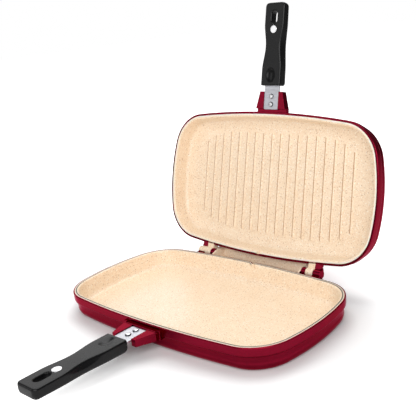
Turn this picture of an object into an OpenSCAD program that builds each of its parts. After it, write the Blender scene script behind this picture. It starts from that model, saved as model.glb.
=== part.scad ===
// Double sided flip pan, shown lying open: the flat pan rests on its base and
// the ribbed pan leans back on the stops of its two rear hinges.
// Frame: origin at the middle of the base, X along the long side,
// -Y towards the handles, +Y towards the hinges, Z up.

/* [Pan outline] */
// Width of each pan over the rim
pan_w = 360; // [320:1:400]
// Depth of each pan over the rim
pan_d = 196; // [180:1:220]
// Radius of the four corners of the rim
corner_r = 53; // [45:1:58]
// Bow of the front and rear sides over the pan width
long_bow = 13.5; // [10:0.5:16]
// Bow of the left and right sides over the pan depth
short_bow = 20; // [16:0.5:24]

/* [Pan walls] */
// Height of the lower pan from base to rim
lower_h = 30; // [28:0.5:34]
// Height of the upper pan from back to rim
upper_h = 28; // [26:0.5:32]
// Thickness of the lower pan floor
lower_floor_t = 4.5; // [3:0.1:5]
// Thickness of the upper pan floor
upper_floor_t = 4; // [3:0.1:5]
// Height of the thick band round each rim
band_h = 10; // [8:0.5:12]
// Width of the rim from its outer edge to the inner wall
rim_w = 7.2; // [6.8:0.1:8]
// Width of the condensate groove in the lower rim
groove_w = 1.2; // [0.8:0.1:1.6]
// Depth of the condensate groove in the lower rim
groove_depth = 1; // [0.6:0.1:1.4]

/* [Ribs] */
// Number of grill ribs across the upper pan
rib_count = 18; // [12:1:20]
// Distance from one rib to the next
rib_pitch = 15.2; // [12:0.1:15.5]
// Width of a grill rib
rib_w = 4; // [3:0.1:5]
// Height of a grill rib
rib_h = 1.2; // [0.8:0.1:2]
// Length of the ribs in the middle of the pan
rib_len = 140; // [110:1:142]
// How much shorter the two outermost ribs are
rib_end_cut = 34; // [20:1:50]

/* [Gasket] */
// Width of the silicone gasket
gasket_w = 2; // [1.6:0.1:2.2]
// Depth of the gasket groove in the upper rim
gasket_depth = 2.2; // [1.8:0.1:2.6]
// How far the gasket stands out of the upper rim
gasket_proud = 0.35; // [0.2:0.05:0.35]
// Gap between the two rims when the pan is shut
shut_gap = 0.5; // [0.45:0.05:0.8]

/* [Hinges] */
// Angle between the rims when the pan stands open
open_angle = 104.5; // [95:0.5:108]
// Distance of the hinge axis behind the rim
axis_back = 7; // [6.6:0.1:9]
// Distance of the hinge axis below the lower rim
axis_drop = 1.2; // [0.8:0.1:2]
// Diameter of the hinge knuckles
knuckle_d = 11; // [10:0.1:11.6]
// Diameter of the hinge pins
pin_d = 4; // [3:0.1:5]
// Play of a hinge pin in the upper knuckle, on the radius
pin_play = 0.05; // [0.02:0.01:0.1]
// Distance from the middle to the inner end of each hinge
hinge_x = 77; // [70:0.5:80]
// Length of the inner lower knuckle
inner_knuckle_l = 6.5; // [5:0.1:8]
// Length of the upper knuckle between the lower two
upper_knuckle_l = 11; // [9:0.1:12]
// Length of the outer lower knuckle
outer_knuckle_l = 11.5; // [10:0.1:13]
// Play between neighbouring knuckles
knuckle_play = 0.4; // [0.3:0.05:0.6]

/* [Rear gutter] */
// Depth of the gutter from the hinge axis to its rear face
gutter_back = 19; // [17:0.5:20]
// Depth of the gutter floor below the lower rim
gutter_depth = 10; // [8:0.5:12]
// Wall thickness of the gutter
gutter_t = 2.5; // [2:0.1:3]
// Width of the drain notch in the rear of the lower rim
notch_w = 6; // [5:0.1:8]
// Depth of the drain notch
notch_depth = 3; // [2.6:0.1:4]

/* [Handle bracket] */
// Width of the steel tang
tang_w = 25; // [22:0.5:27]
// Thickness of the steel tang
tang_t = 2.5; // [2:0.1:3]
// Depth of the tang top below the rim
tang_drop = 5.3; // [5:0.1:6]
// How far the tang runs inside the grip
tang_in_grip = 34; // [28:1:40]
// Length of the bracket from the rim to its tip
bracket_l = 28; // [25:0.5:30]
// Width of the bracket at the rim
bracket_root_w = 54; // [50:1:60]
// Width of the bracket at its tip
bracket_tip_w = 39; // [37:1:44]
// Diameter of a rivet shank
rivet_d = 4; // [3:0.1:4.5]
// Diameter of a rivet head
rivet_head_d = 6.6; // [6:0.1:7.5]
// Height of a rivet head
rivet_head_h = 1.6; // [1.2:0.1:2]
// Distance from the rim to the inner rivet
rivet_y = 10.5; // [10:0.5:12]
// Distance between the two rivets of a tang
rivet_pitch = 11; // [9:0.5:12]

/* [Grips] */
// Distance from the rim to the grip
grip_gap = 36; // [33:0.5:38]
// Length of a grip
grip_l = 114; // [105:1:125]
// Width of a grip at its ends
grip_w = 33.5; // [32:0.5:36]
// Width of a grip at its waist
waist_w = 25; // [22:0.5:29]
// Thickness of a grip at the pan end
grip_t = 15; // [14:0.5:17]
// Thickness of a grip at the far end
grip_end_t = 12.5; // [11:0.5:13.5]
// Radius of the far corners of a grip
grip_corner_r = 6; // [4:0.5:8]
// Length of the hanging slot
slot_l = 18; // [14:0.5:22]
// Width of the hanging slot
slot_w = 9; // [7:0.5:10]
// Distance from the far end of the grip to the middle of the slot
slot_from_end = 20; // [17:0.5:22]
// Distance from the far end of the grip to the magnet
magnet_from_end = 37; // [35:0.5:40]
// Diameter of the magnet
magnet_d = 9; // [8:0.1:9.6]
// Thickness of the magnet
magnet_t = 4; // [3:0.1:4.5]
// Diameter of the magnet cap
cap_d = 11; // [10.6:0.1:12]
// Thickness of the magnet cap
cap_t = 1.2; // [1:0.1:1.6]
// Diameter of the handle screw
screw_d = 4; // [3:0.1:5]
// Diameter of the handle screw head
screw_head_d = 7; // [6.5:0.1:7.5]
// Height of the handle screw head
screw_head_h = 2.4; // [2:0.1:2.8]
// Distance from the pan end of the grip to the handle screw
screw_in_grip = 22; // [20:0.5:24]

/* [Hidden] */
$fn = 48;

// Colours
enamel = [0.55, 0.07, 0.16];
silicone = [0.86, 0.88, 0.82];
steel = [0.80, 0.81, 0.84];
bakelite = [0.11, 0.11, 0.12];
ferrite = [0.30, 0.30, 0.32];

// How far a cutting shape runs past the face that it cuts
cut = 1;
// How far two shapes that are joined run into each other where they only meet
lap = 0.02;

// ---- Outline of the rim ----
// Three tangent arcs make each quarter of the rim: a long-side arc of radius
// long_r, a corner arc of radius corner_r and a short-side arc of radius short_r.
// The bows give the angles at which the arcs meet, and these are rounded a
// little so that neighbouring arcs share exactly one plane. The radii follow.
half_w = pan_w / 2;
half_d = pan_d / 2;
bow_r_long = (half_w * half_w + long_bow * long_bow) / (2 * long_bow);
bow_r_short = (half_d * half_d + short_bow * short_bow) / (2 * short_bow);
bow_c_long = [0, half_d - bow_r_long];
bow_c_short = [half_w - bow_r_short, 0];
centre_gap = norm(bow_c_short - bow_c_long);
centre_dir = (bow_c_short - bow_c_long) / centre_gap;
to_long = bow_r_long - corner_r;
to_short = bow_r_short - corner_r;
along = (to_long * to_long - to_short * to_short + centre_gap * centre_gap) / (2 * centre_gap);
across = sqrt(to_long * to_long - along * along);
meet = bow_c_long + along * centre_dir + across * [centre_dir[1], -centre_dir[0]];

function rounded(angle) = round(angle * 1000) / 1000;
long_a = rounded(atan2(meet[1] - bow_c_long[1], meet[0] - bow_c_long[0]));
short_a = rounded(atan2(meet[1] - bow_c_short[1], meet[0] - bow_c_short[0]));
arc_room = cos(long_a) * sin(short_a) - (1 - sin(long_a)) * (1 - cos(short_a));
long_r = corner_r
    + ((half_w - corner_r) * sin(short_a) - (half_d - corner_r) * (1 - cos(short_a))) / arc_room;
short_r = corner_r
    + ((half_d - corner_r) * cos(long_a) - (half_w - corner_r) * (1 - sin(long_a))) / arc_room;
long_c = [0, half_d - long_r];
short_c = [half_w - short_r, 0];
corner_c = [(long_r - corner_r) * cos(long_a), (short_r - corner_r) * sin(short_a)];

// Distance of the rim's long side from the middle at a given x
function rim_y(x) = long_c[1] + sqrt(long_r * long_r - x * x);

// Points of an arc from one angle to another
function arc(c, r, a0, a1, n) =
    [for (i = [0:n]) let (a = a0 + (a1 - a0) * i / n) c + r * [cos(a), sin(a)]];

// ---- Pan castings ----
// Wall section, as [inset from the rim's outer edge, height above the base]
rim_round = 1.2;
band_draft = 0.5;
band_step = 1.8;
step_drop = 1.2;
wall_draft = 14;
inner_draft = 7;
inner_round = 2.2;
floor_fillet = 9;
lower_wall_end = 12;
upper_wall_end = 14;
floor_reach = 24;
core_inset = 21;
groove_in = 3.3;
gasket_in = 1.7;

// Outer side of the wall, from the rim down to the base
function outer_side(h, wall_end) =
    let (base_r = wall_end / (1 + sin(wall_draft)),
         step_z = h - band_h - step_drop,
         step_in = band_draft + band_step,
         wall_in = step_in + (step_z - wall_end) * tan(wall_draft),
         base_c = [wall_in + base_r * cos(wall_draft), base_r])
    concat(arc([rim_round, h - rim_round], rim_round, 90, 180, 4),
           [[band_draft, h - band_h], [step_in, step_z]],
           arc(base_c, base_r, 180 - wall_draft, 270, 8));

// Inner side of the wall, from the floor up to the rim
function inner_side(h, floor_t) =
    let (fillet_z = floor_t + floor_fillet,
         foot_z = fillet_z - floor_fillet * sin(inner_draft),
         foot_in = rim_w + (h - inner_round - foot_z) * tan(inner_draft),
         fillet_c = [foot_in + floor_fillet * cos(inner_draft), fillet_z])
    concat([[floor_reach, 0], [floor_reach, floor_t]],
           arc(fillet_c, floor_fillet, 270, 180 + inner_draft, 6),
           arc([rim_w - inner_round, h - inner_round], inner_round, 0, 90, 5));

module wall_section(h, floor_t, wall_end) {
    polygon(concat(outer_side(h, wall_end), inner_side(h, floor_t)));
}

// Moves the children by whole millimetres first and then by the rest, which
// keeps every digit of a long distance
module exactly_to(place) {
    whole = [for (v = place) floor(v)];
    translate(whole) translate(place - whole) children();
}

// One arc of the rim, with the section as children
module rim_arc(c, r, a0, a1) {
    exactly_to([c[0], c[1], 0])
        rotate_extrude(angle = a1 - a0, start = a0, $fn = 240)
            exactly_to([r, 0, 0]) mirror([1, 0]) children();
}

// The section of the children taken once round the whole rim
module round_the_rim() {
    for (turn = [0, 180]) rotate([0, 0, turn]) {
        rim_arc(long_c, long_r, long_a, 180 - long_a) children();
        rim_arc(short_c, short_r, -short_a, short_a) children();
        rim_arc(corner_c, corner_r, short_a, long_a) children();
        rim_arc([-corner_c[0], corner_c[1]], corner_r, 180 - long_a, 180 - short_a) children();
    }
}

// Points of the outline that runs parallel to the rim at an inset, all round.
// Each point is in the middle of its step, so none lies where two arcs meet.
arc_steps = 12;
function step_middles(c, r, a0, a1) =
    let (half_step = (a1 - a0) / arc_steps / 2)
    arc(c, r, a0 + half_step, a1 - half_step, arc_steps - 1);
function quarter_outline(inset) =
    concat(step_middles(short_c, short_r - inset, 0, short_a),
           step_middles(corner_c, corner_r - inset, short_a, long_a),
           step_middles(long_c, long_r - inset, long_a, 90));
function outline(inset) =
    let (quarter = quarter_outline(inset),
         left = [for (i = [len(quarter) - 1:-1:0]) [-quarter[i][0], quarter[i][1]]],
         half = concat(quarter, left))
    concat(half, -half);

// A flat strip round the rim, between two insets
module rim_strip(inset, width, height) {
    linear_extrude(height) difference() {
        polygon(outline(inset));
        polygon(outline(inset + width));
    }
}

module pan_shell(h, floor_t, wall_end) {
    round_the_rim() wall_section(h, floor_t, wall_end);
    linear_extrude(floor_t) polygon(outline(core_inset));
}

// ---- Hinges ----
// The upper pan is drawn shut, face to face with the lower one, and is then
// swung open about the hinge axis.
axis_y = half_d + axis_back;
axis_z = lower_h - axis_drop;
shut_z = lower_h + shut_gap;

module swung_open() {
    translate([0, axis_y, axis_z]) rotate([-open_angle, 0, 0])
        translate([0, -axis_y, -axis_z]) children();
}

// Children drawn above z = 0 with their rim at the given height, turned over
// so that the rim faces down on the lower pan
module face_down(h) {
    translate([0, 0, shut_z + h]) mirror([0, 0, 1]) children();
}

// Knuckle and pin ends along X, from the middle outwards
pin_inset = 0.3;
pin_cover = 3;
inner_x0 = hinge_x;
inner_x1 = inner_x0 + inner_knuckle_l;
upper_x0 = inner_x1 + knuckle_play;
upper_x1 = upper_x0 + upper_knuckle_l;
outer_x0 = upper_x1 + knuckle_play;
outer_x1 = outer_x0 + outer_knuckle_l;
pin_x0 = inner_x0 + pin_inset;
pin_x1 = outer_x1 - pin_cover;

// What is cast onto the rim reaches this far into it, and what is cast onto a
// knuckle ends this far below the knuckle's surface
wall_bite = 3.5;
knuckle_bite = 1;
knuckle_r = knuckle_d / 2;
function in_knuckle(angle) = [axis_y, axis_z] + (knuckle_r - knuckle_bite) * [cos(angle), sin(angle)];

// A round bar along X between two distances from the middle, on the hinge axis
module on_axis(side, x0, x1, r) {
    translate([side > 0 ? x0 : -x1, axis_y, axis_z]) rotate([0, 90, 0]) cylinder(r = r, h = x1 - x0);
}

// A plate of the YZ polygon between two distances from the middle
module across_x(side, x0, x1, points) {
    translate([side > 0 ? x0 : -x1, 0, 0]) rotate([90, 0, 90]) linear_extrude(x1 - x0) polygon(points);
}

// Arm that joins a lower knuckle to the pan's wall, below the level of the rim
arm_drop = 12.5;
arm_top_drop = 1;
module lower_arm(side, x0, x1) {
    root = rim_y(x1) - wall_bite;
    across_x(side, x0, x1, [[root, axis_z - arm_drop], [rim_y(x1), axis_z - arm_drop],
                            in_knuckle(-80), in_knuckle(180), [root, axis_z - arm_top_drop]]);
}

// Ledge behind the outer lower knuckle, on which the open upper pan rests
stop_gap = 0.2;
stop_rise = 0.1;
stop_reach = 9;
ledge_foot_drop = 1;
ledge_top = axis_z + knuckle_r + stop_rise;
module stop_ledge(side) {
    across_x(side, outer_x0, outer_x1, [in_knuckle(-90), [axis_y + stop_reach, axis_z - ledge_foot_drop],
                                        [axis_y + stop_reach, ledge_top], [axis_y, ledge_top]]);
}

// Lug from the upper wall to its knuckle, in the shut position
lug_rise = 12;
lug_shoulder = 1;
module upper_lug(side) {
    root = rim_y(upper_x1) - wall_bite;
    across_x(side, upper_x0, upper_x1, [[root, shut_z], [axis_y - knuckle_r + knuckle_bite, shut_z],
                                        in_knuckle(225), in_knuckle(60),
                                        [axis_y + lug_shoulder, axis_z + knuckle_r],
                                        [rim_y(upper_x1) + lug_shoulder, shut_z + lug_rise],
                                        [root, shut_z + lug_rise]]);
}

// Heel beside the lug. Its rear face is flat and meets the stop ledge when open.
heel_l = 8.5;
heel_toe = 0.8;
heel_relief = 0.6;
heel_slope = [4, 1.5];
heel_inset = 3;
module stop_heel(side) {
    face = [cos(open_angle - 90), sin(open_angle - 90)];
    along_face = [-face[1], face[0]];
    foot = [axis_y, axis_z] - (knuckle_r + stop_rise + stop_gap) * face;
    low = foot + heel_toe * along_face;
    high = foot + heel_l * along_face;
    shoulder = [high[0] - heel_slope[0], high[1] + heel_slope[1]];
    root = rim_y(outer_x0) - wall_bite;
    across_x(side, upper_x1 - lap, outer_x1 - heel_inset,
             [[root, shut_z + heel_relief], [low[0], low[1] + heel_relief], high,
              shoulder, [root, shoulder[1]]]);
}

// ---- Rear gutter of the lower pan ----
gutter_y1 = axis_y + gutter_back;
gutter_floor_z = lower_h - gutter_depth;
gutter_rise = 2.4;
gutter_top_z = axis_z + gutter_rise;
gutter_slope = 3;
gutter_rear_draft = 1.5;
gutter_end_drop = 2;
gutter_end_step = 1;

module gutter() {
    root = rim_y(0) - wall_bite;
    end_root = rim_y(hinge_x) - wall_bite;
    under = gutter_floor_z - gutter_t;
    foot_y = gutter_y1 - gutter_t - gutter_slope;
    rear = [[foot_y, under],
            [gutter_y1 - gutter_rear_draft, under + gutter_slope],
            [gutter_y1, gutter_top_z]];
    section = concat([[root, under]], rear,
                     [[gutter_y1 - gutter_t, gutter_top_z],
                      [foot_y, gutter_floor_z],
                      [root, gutter_floor_z]]);
    end_section = concat([[end_root, under]], rear,
                         [[axis_y, gutter_top_z],
                          [rim_y(hinge_x) + gutter_end_step, axis_z - gutter_end_drop],
                          [end_root, axis_z - gutter_end_drop]]);
    across_x(1, -hinge_x, hinge_x, section);
    for (side = [-1, 1]) across_x(side, hinge_x - gutter_t, hinge_x + lap, end_section);
}

// V-shaped notch that drains the rear rim into the gutter, and the nub on the
// upper rim that dips into it
nub_w = 2.4;
nub_t = 2;
nub_in = 0.4;
nub_proud = 1.5;
nub_root = 2;

module drain_notch() {
    top = notch_depth + cut;
    translate([0, half_d + cut, lower_h - notch_depth]) rotate([90, 0, 0])
        linear_extrude(half_d + cut - core_inset) polygon([[0, 0], [notch_w / 2, top], [-notch_w / 2, top]]);
}

module drain_nub() {
    translate([-nub_w / 2, half_d - rim_w + nub_in, shut_z - nub_proud])
        cube([nub_w, nub_t, nub_proud + nub_root]);
}

// ---- Handle bracket, cast on the front of each pan ----
// It is drawn for the lower pan, and its heights are measured down from the rim.
rim_front = -half_d;
cheek_drop = 4.1;
cheek_root_drop = 15;
cheek_tip_drop = 12.5;
cheek_gap = 0.6;
cheek_shoulder = 0.5;
bracket_floor_t = 3;
bracket_floor_l = 24;
floor_lap = 1;
lip_y = 5;
lip_t = 2;
lip_w = 50;
lip_drop = 3.6;
block_w = 4.5;
block_out = 2.5;
block_lap = 1;
block_top_drop = 3;
block_foot_drop = 14;
tang_y0 = 7.2;
tang_bottom_drop = tang_drop + tang_t;

// Plan of the cheek beside the tang, at one side
function cheek_plan(side) =
    [[side * (tang_w / 2 + cheek_gap), rim_front + wall_bite],
     [side * (tang_w / 2 + cheek_gap), rim_front - bracket_l],
     [side * bracket_tip_w / 2, rim_front - bracket_l],
     [side * bracket_root_w / 2, rim_front - lip_y - cheek_shoulder],
     [side * bracket_root_w / 2, rim_front + wall_bite]];

// Side view of a cheek: a sloping underside, and a top that is lower at the root
module cheek_side_view(h) {
    back = rim_front + wall_bite + cut;
    tip = rim_front - bracket_l - cut;
    across_x(1, -bracket_root_w, bracket_root_w,
             [[back, h - cheek_root_drop], [tip, h - cheek_tip_drop], [tip, h - cheek_drop],
              [rim_front - lip_y, h - cheek_drop], [rim_front - lip_y, h - lip_drop],
              [rim_front - lip_y + lip_t, h - lip_drop], [rim_front - lip_y + lip_t, h - tang_bottom_drop],
              [back, h - tang_bottom_drop]]);
}

module bracket(h) {
    floor_bottom = h - tang_bottom_drop - bracket_floor_t;
    for (side = [-1, 1]) intersection() {
        linear_extrude(h) polygon(cheek_plan(side));
        cheek_side_view(h);
    }
    // Floor that carries the tang
    translate([-tang_w / 2 - floor_lap, rim_front - bracket_floor_l, floor_bottom])
        cube([tang_w + 2 * floor_lap, bracket_floor_l + wall_bite, bracket_floor_t]);
    // Lip across the root of the bracket
    translate([-lip_w / 2, rim_front - lip_y, floor_bottom])
        cube([lip_w, lip_t, h - lip_drop - floor_bottom]);
    // Upright blocks that tie the ends of the lip to the band
    for (side = [-1, 1])
        translate([side * (bracket_root_w / 2 - block_lap) - (side > 0 ? 0 : block_w),
                   rim_front - block_out, h - block_foot_drop])
            cube([block_w, wall_bite + block_out, block_foot_drop - block_top_drop]);
}

module rivet_holes(h) {
    for (i = [0, 1])
        translate([0, rim_front - rivet_y - i * rivet_pitch, h - tang_bottom_drop - bracket_floor_t - cut])
            cylinder(d = rivet_d, h = bracket_floor_t + tang_t + 2 * cut);
}

module lower_pan() {
    color(enamel) difference() {
        union() {
            pan_shell(lower_h, lower_floor_t, lower_wall_end);
            bracket(lower_h);
            gutter();
            for (side = [-1, 1]) {
                lower_arm(side, inner_x0, inner_x1);
                lower_arm(side, outer_x0, outer_x1);
                on_axis(side, inner_x0, inner_x1, knuckle_r);
                on_axis(side, outer_x0, outer_x1, knuckle_r);
                stop_ledge(side);
            }
        }
        translate([0, 0, lower_h - groove_depth]) rim_strip(groove_in, groove_w, groove_depth + cut);
        // Bore of each pin, open towards the gutter
        for (side = [-1, 1]) on_axis(side, inner_x0 - gutter_t - cut, pin_x1, pin_d / 2);
        drain_notch();
        rivet_holes(lower_h);
    }
}

// ---- Ribs of the upper pan, shorter towards its two ends ----
rib_root = 1;
rib_taper_power = 6;
function rib_length(i) =
    let (middle = (rib_count - 1) / 2, off = abs(i - middle) / middle)
    rib_len - rib_end_cut * pow(off, rib_taper_power);

module rib(len) {
    linear_extrude(rib_h + rib_root) union() {
        translate([-rib_w / 2, -len / 2 + rib_w / 2]) square([rib_w, len - rib_w]);
        for (end = [-1, 1]) translate([0, end * (len - rib_w) / 2]) circle(d = rib_w);
    }
}

module upper_pan() {
    color(enamel) swung_open() difference() {
        union() {
            face_down(upper_h) {
                pan_shell(upper_h, upper_floor_t, upper_wall_end);
                bracket(upper_h);
                for (i = [0:rib_count - 1])
                    translate([(i - (rib_count - 1) / 2) * rib_pitch, 0, upper_floor_t - rib_root])
                        rib(rib_length(i));
            }
            for (side = [-1, 1]) {
                upper_lug(side);
                on_axis(side, upper_x0, upper_x1, knuckle_r);
                stop_heel(side);
            }
            drain_nub();
        }
        face_down(upper_h) {
            translate([0, 0, upper_h - gasket_depth]) rim_strip(gasket_in, gasket_w, gasket_depth + cut);
            rivet_holes(upper_h);
        }
        for (side = [-1, 1]) on_axis(side, upper_x0 - cut, upper_x1 + cut, pin_d / 2 + pin_play);
    }
}

module rim_gasket() {
    color(silicone) swung_open() face_down(upper_h)
        translate([0, 0, upper_h - gasket_depth]) rim_strip(gasket_in, gasket_w, gasket_depth + gasket_proud);
}

module hinge_pin(side) {
    color(steel) on_axis(side, pin_x0, pin_x1, pin_d / 2);
}

// ---- Handles ----
// Their parts are drawn for the lower pan with the rim at the given height, and
// their y runs outwards from the rim's front edge.
grip_y0 = rim_front - grip_gap;
grip_y1 = grip_y0 - grip_l;
grip_drop = 0.3;
tang_y1 = grip_y0 - tang_in_grip;
screw_y = grip_y0 - screw_in_grip;
magnet_y = grip_y1 + magnet_from_end;
slot_y = grip_y1 + slot_from_end;
tang_end_play = 0.5;
tang_side_play = 0.1;

module tang(h) {
    color(steel) difference() {
        translate([-tang_w / 2, tang_y1, h - tang_bottom_drop])
            cube([tang_w, rim_front - tang_y0 - tang_y1, tang_t]);
        rivet_holes(h);
        translate([0, screw_y, h - tang_bottom_drop - cut]) cylinder(d = screw_d, h = tang_t + 2 * cut);
    }
}

// Rivet with a domed head on the tang and a like head under the bracket floor
module rivet(h, i) {
    top = h - tang_drop;
    bottom = top - tang_t - bracket_floor_t;
    dome_r = (rivet_head_d * rivet_head_d / 4 + rivet_head_h * rivet_head_h) / (2 * rivet_head_h);
    color(steel) translate([0, rim_front - rivet_y - i * rivet_pitch, 0]) {
        translate([0, 0, bottom]) cylinder(d = rivet_d, h = top - bottom);
        for (end = [0, 1]) translate([0, 0, end == 0 ? bottom : top]) mirror([0, 0, 1 - end])
            rotate_extrude() intersection() {
                translate([0, rivet_head_h - dome_r]) circle(r = dome_r);
                square([rivet_head_d / 2, rivet_head_h]);
            }
    }
}

// Half width of the grip at a share t of its length from the pan end
waist_from = 0.18;
waist_to = 0.76;
function grip_half(t) =
    let (s = (t - waist_from) / (waist_to - waist_from),
         dip = s <= 0 || s >= 1 ? 0 : 0.5 - 0.5 * cos(360 * s))
    grip_w / 2 - (grip_w - waist_w) / 2 * dip;

grip_steps = 24;
grip_chamfer = 1;
module grip_plan() {
    r = grip_corner_r;
    edge = [for (i = [0:grip_steps]) let (t = waist_from + (waist_to - waist_from) * i / grip_steps)
            [grip_half(t), grip_y0 - t * grip_l]];
    right = concat([[grip_w / 2 - grip_chamfer, grip_y0], [grip_w / 2, grip_y0 - grip_chamfer]], edge,
                   arc([grip_w / 2 - r, grip_y1 + r], r, 0, -90, 6));
    left = [for (i = [len(right) - 1:-1:0]) [-right[i][0], right[i][1]]];
    polygon(concat(right, left));
}

cap_play = 0.1;
head_play = 1;
screw_play = 0.4;
screw_seat = 4.2;
screw_tip_room = 1.5;
hole_lap = 0.1;

module grip(h) {
    top = h - grip_drop;
    bottom = top - grip_t;
    taper = atan((grip_t - grip_end_t) / grip_l);
    color(bakelite) difference() {
        translate([0, 0, bottom]) linear_extrude(grip_t) grip_plan();
        // Sloping underside
        translate([-grip_w, grip_y0, bottom]) rotate([-taper, 0, 0])
            translate([0, -2 * grip_l, -grip_t]) cube([2 * grip_w, 2 * grip_l, grip_t]);
        // Pocket for the tang
        translate([-tang_w / 2 - tang_side_play, tang_y1 - tang_end_play, h - tang_bottom_drop])
            cube([tang_w + 2 * tang_side_play, tang_in_grip + tang_end_play + cut, tang_t]);
        // Hanging slot
        translate([0, slot_y, bottom - cut]) linear_extrude(grip_t + 2 * cut) union() {
            translate([-slot_w / 2, -(slot_l - slot_w) / 2]) square([slot_w, slot_l - slot_w]);
            for (end = [-1, 1]) translate([0, end * (slot_l - slot_w) / 2]) circle(d = slot_w);
        }
        // Pocket for the magnet and its cap
        translate([0, magnet_y, top - cap_t]) cylinder(d = cap_d + cap_play, h = cap_t + cut);
        translate([0, magnet_y, top - cap_t - magnet_t]) cylinder(d = magnet_d, h = magnet_t + cut);
        // Hole for the handle screw, from below, on past the tang
        translate([0, screw_y, bottom - cut]) cylinder(d = screw_head_d + head_play, h = screw_seat + cut);
        translate([0, screw_y, bottom - cut])
            cylinder(d = screw_d + screw_play, h = h - tang_bottom_drop + hole_lap - bottom + cut);
        translate([0, screw_y, h - tang_drop - hole_lap])
            cylinder(d = screw_d + screw_play, h = screw_tip_room + hole_lap);
    }
}

module magnet(h) {
    color(ferrite) translate([0, magnet_y, h - grip_drop - cap_t - magnet_t])
        cylinder(d = magnet_d, h = magnet_t);
}

// Cap with a slightly domed face, sunk level with the grip at its edge
cap_dome = 0.2;
cap_edge = 0.3;
module magnet_cap(h) {
    r = cap_d / 2;
    color(steel) translate([0, magnet_y, h - grip_drop - cap_t])
        rotate_extrude() polygon([[0, 0], [r, 0], [r, cap_t - cap_edge], [r - cap_edge, cap_t],
                                  [r / 2, cap_t + 0.75 * cap_dome], [0, cap_t + cap_dome]]);
}

// Height of the seat of the handle screw, below the rim
seat_drop = grip_drop + grip_t - screw_seat;
washer_t = 0.9;
washer_play = 0.3;

module spring_washer(h) {
    color(steel) translate([0, screw_y, h - seat_drop - washer_t]) difference() {
        cylinder(d = screw_head_d, h = washer_t);
        translate([0, 0, -cut]) cylinder(d = screw_d + washer_play, h = washer_t + 2 * cut);
    }
}

// Pan-head screw with a crossed recess, screwed up through the tang
screw_tip_rise = 0.8;
recess_l = 4.2;
recess_w = 1;
recess_depth = 1.2;

module handle_screw(h) {
    seat = h - seat_drop - washer_t;
    tip = h - tang_drop + screw_tip_rise;
    color(steel) translate([0, screw_y, 0]) difference() {
        union() {
            translate([0, 0, seat - screw_head_h]) cylinder(d = screw_head_d, h = screw_head_h);
            translate([0, 0, seat - lap]) cylinder(d = screw_d, h = tip - seat + lap);
        }
        for (turn = [0, 90]) rotate([0, 0, turn])
            translate([-recess_l / 2, -recess_w / 2, seat - screw_head_h - cut])
                cube([recess_l, recess_w, recess_depth + cut]);
    }
}

lower_pan();
upper_pan();
rim_gasket();
hinge_pin(-1);  // left_hinge_pin
hinge_pin(1);  // right_hinge_pin
tang(lower_h);  // lower_tang
swung_open() face_down(upper_h) tang(upper_h);  // upper_tang
rivet(lower_h, 0);  // lower_inner_rivet
rivet(lower_h, 1);  // lower_outer_rivet
swung_open() face_down(upper_h) rivet(upper_h, 0);  // upper_inner_rivet
swung_open() face_down(upper_h) rivet(upper_h, 1);  // upper_outer_rivet
grip(lower_h);  // lower_grip
swung_open() face_down(upper_h) grip(upper_h);  // upper_grip
magnet(lower_h);  // lower_magnet
swung_open() face_down(upper_h) magnet(upper_h);  // upper_magnet
magnet_cap(lower_h);  // lower_magnet_cap
swung_open() face_down(upper_h) magnet_cap(upper_h);  // upper_magnet_cap
handle_screw(lower_h);  // lower_handle_screw
swung_open() face_down(upper_h) handle_screw(upper_h);  // upper_handle_screw
spring_washer(lower_h);  // lower_spring_washer
swung_open() face_down(upper_h) spring_washer(upper_h);  // upper_spring_washer
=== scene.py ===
"""Double sided flip pan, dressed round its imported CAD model."""

import functools
import math

import bmesh
import bpy
from mathutils import Matrix, Vector


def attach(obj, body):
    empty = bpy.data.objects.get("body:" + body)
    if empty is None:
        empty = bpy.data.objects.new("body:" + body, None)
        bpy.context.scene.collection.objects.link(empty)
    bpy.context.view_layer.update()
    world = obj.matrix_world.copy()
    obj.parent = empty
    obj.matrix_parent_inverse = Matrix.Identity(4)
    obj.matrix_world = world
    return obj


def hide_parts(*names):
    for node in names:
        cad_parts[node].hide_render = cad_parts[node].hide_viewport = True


bl_info = {
    "name": "Double Sided Flip Pan",
    "version": (1, 0, 0),
    "blender": (4, 5, 0),
    "location": "3D View > Sidebar > Flip Pan",
    "description": "Casts, grips, gasket and fittings of a double sided flip pan",
    "category": "Object",
}

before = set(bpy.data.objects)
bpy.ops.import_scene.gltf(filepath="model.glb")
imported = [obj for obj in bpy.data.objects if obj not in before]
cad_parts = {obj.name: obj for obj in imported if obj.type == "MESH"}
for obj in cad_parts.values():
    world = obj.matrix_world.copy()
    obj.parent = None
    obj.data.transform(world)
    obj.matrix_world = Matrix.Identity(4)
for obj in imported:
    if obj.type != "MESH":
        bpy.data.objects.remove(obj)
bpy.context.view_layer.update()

MM = 0.001


def mm(*values):
    """Millimetres as metres."""
    return [value * MM for value in values]


# ---------------------------------------------------------------- settings

def srgb(hex_colour):
    """Linear RGBA of an sRGB hex colour such as "8A1030"."""
    channels = [int(hex_colour[i:i + 2], 16) / 255 for i in (0, 2, 4)]
    return tuple(c / 12.92 if c <= 0.04045 else ((c + 0.055) / 1.055) ** 2.4
                 for c in channels) + (1.0,)


def length(name, millimetres, description):
    return bpy.props.FloatProperty(name=name, description=description, default=millimetres * MM,
                                   min=0, precision=5, subtype="DISTANCE", unit="LENGTH")


def colour(name, hex_colour, description):
    return bpy.props.FloatVectorProperty(name=name, description=description, size=4, min=0,
                                         max=1, default=srgb(hex_colour), subtype="COLOR")


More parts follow.
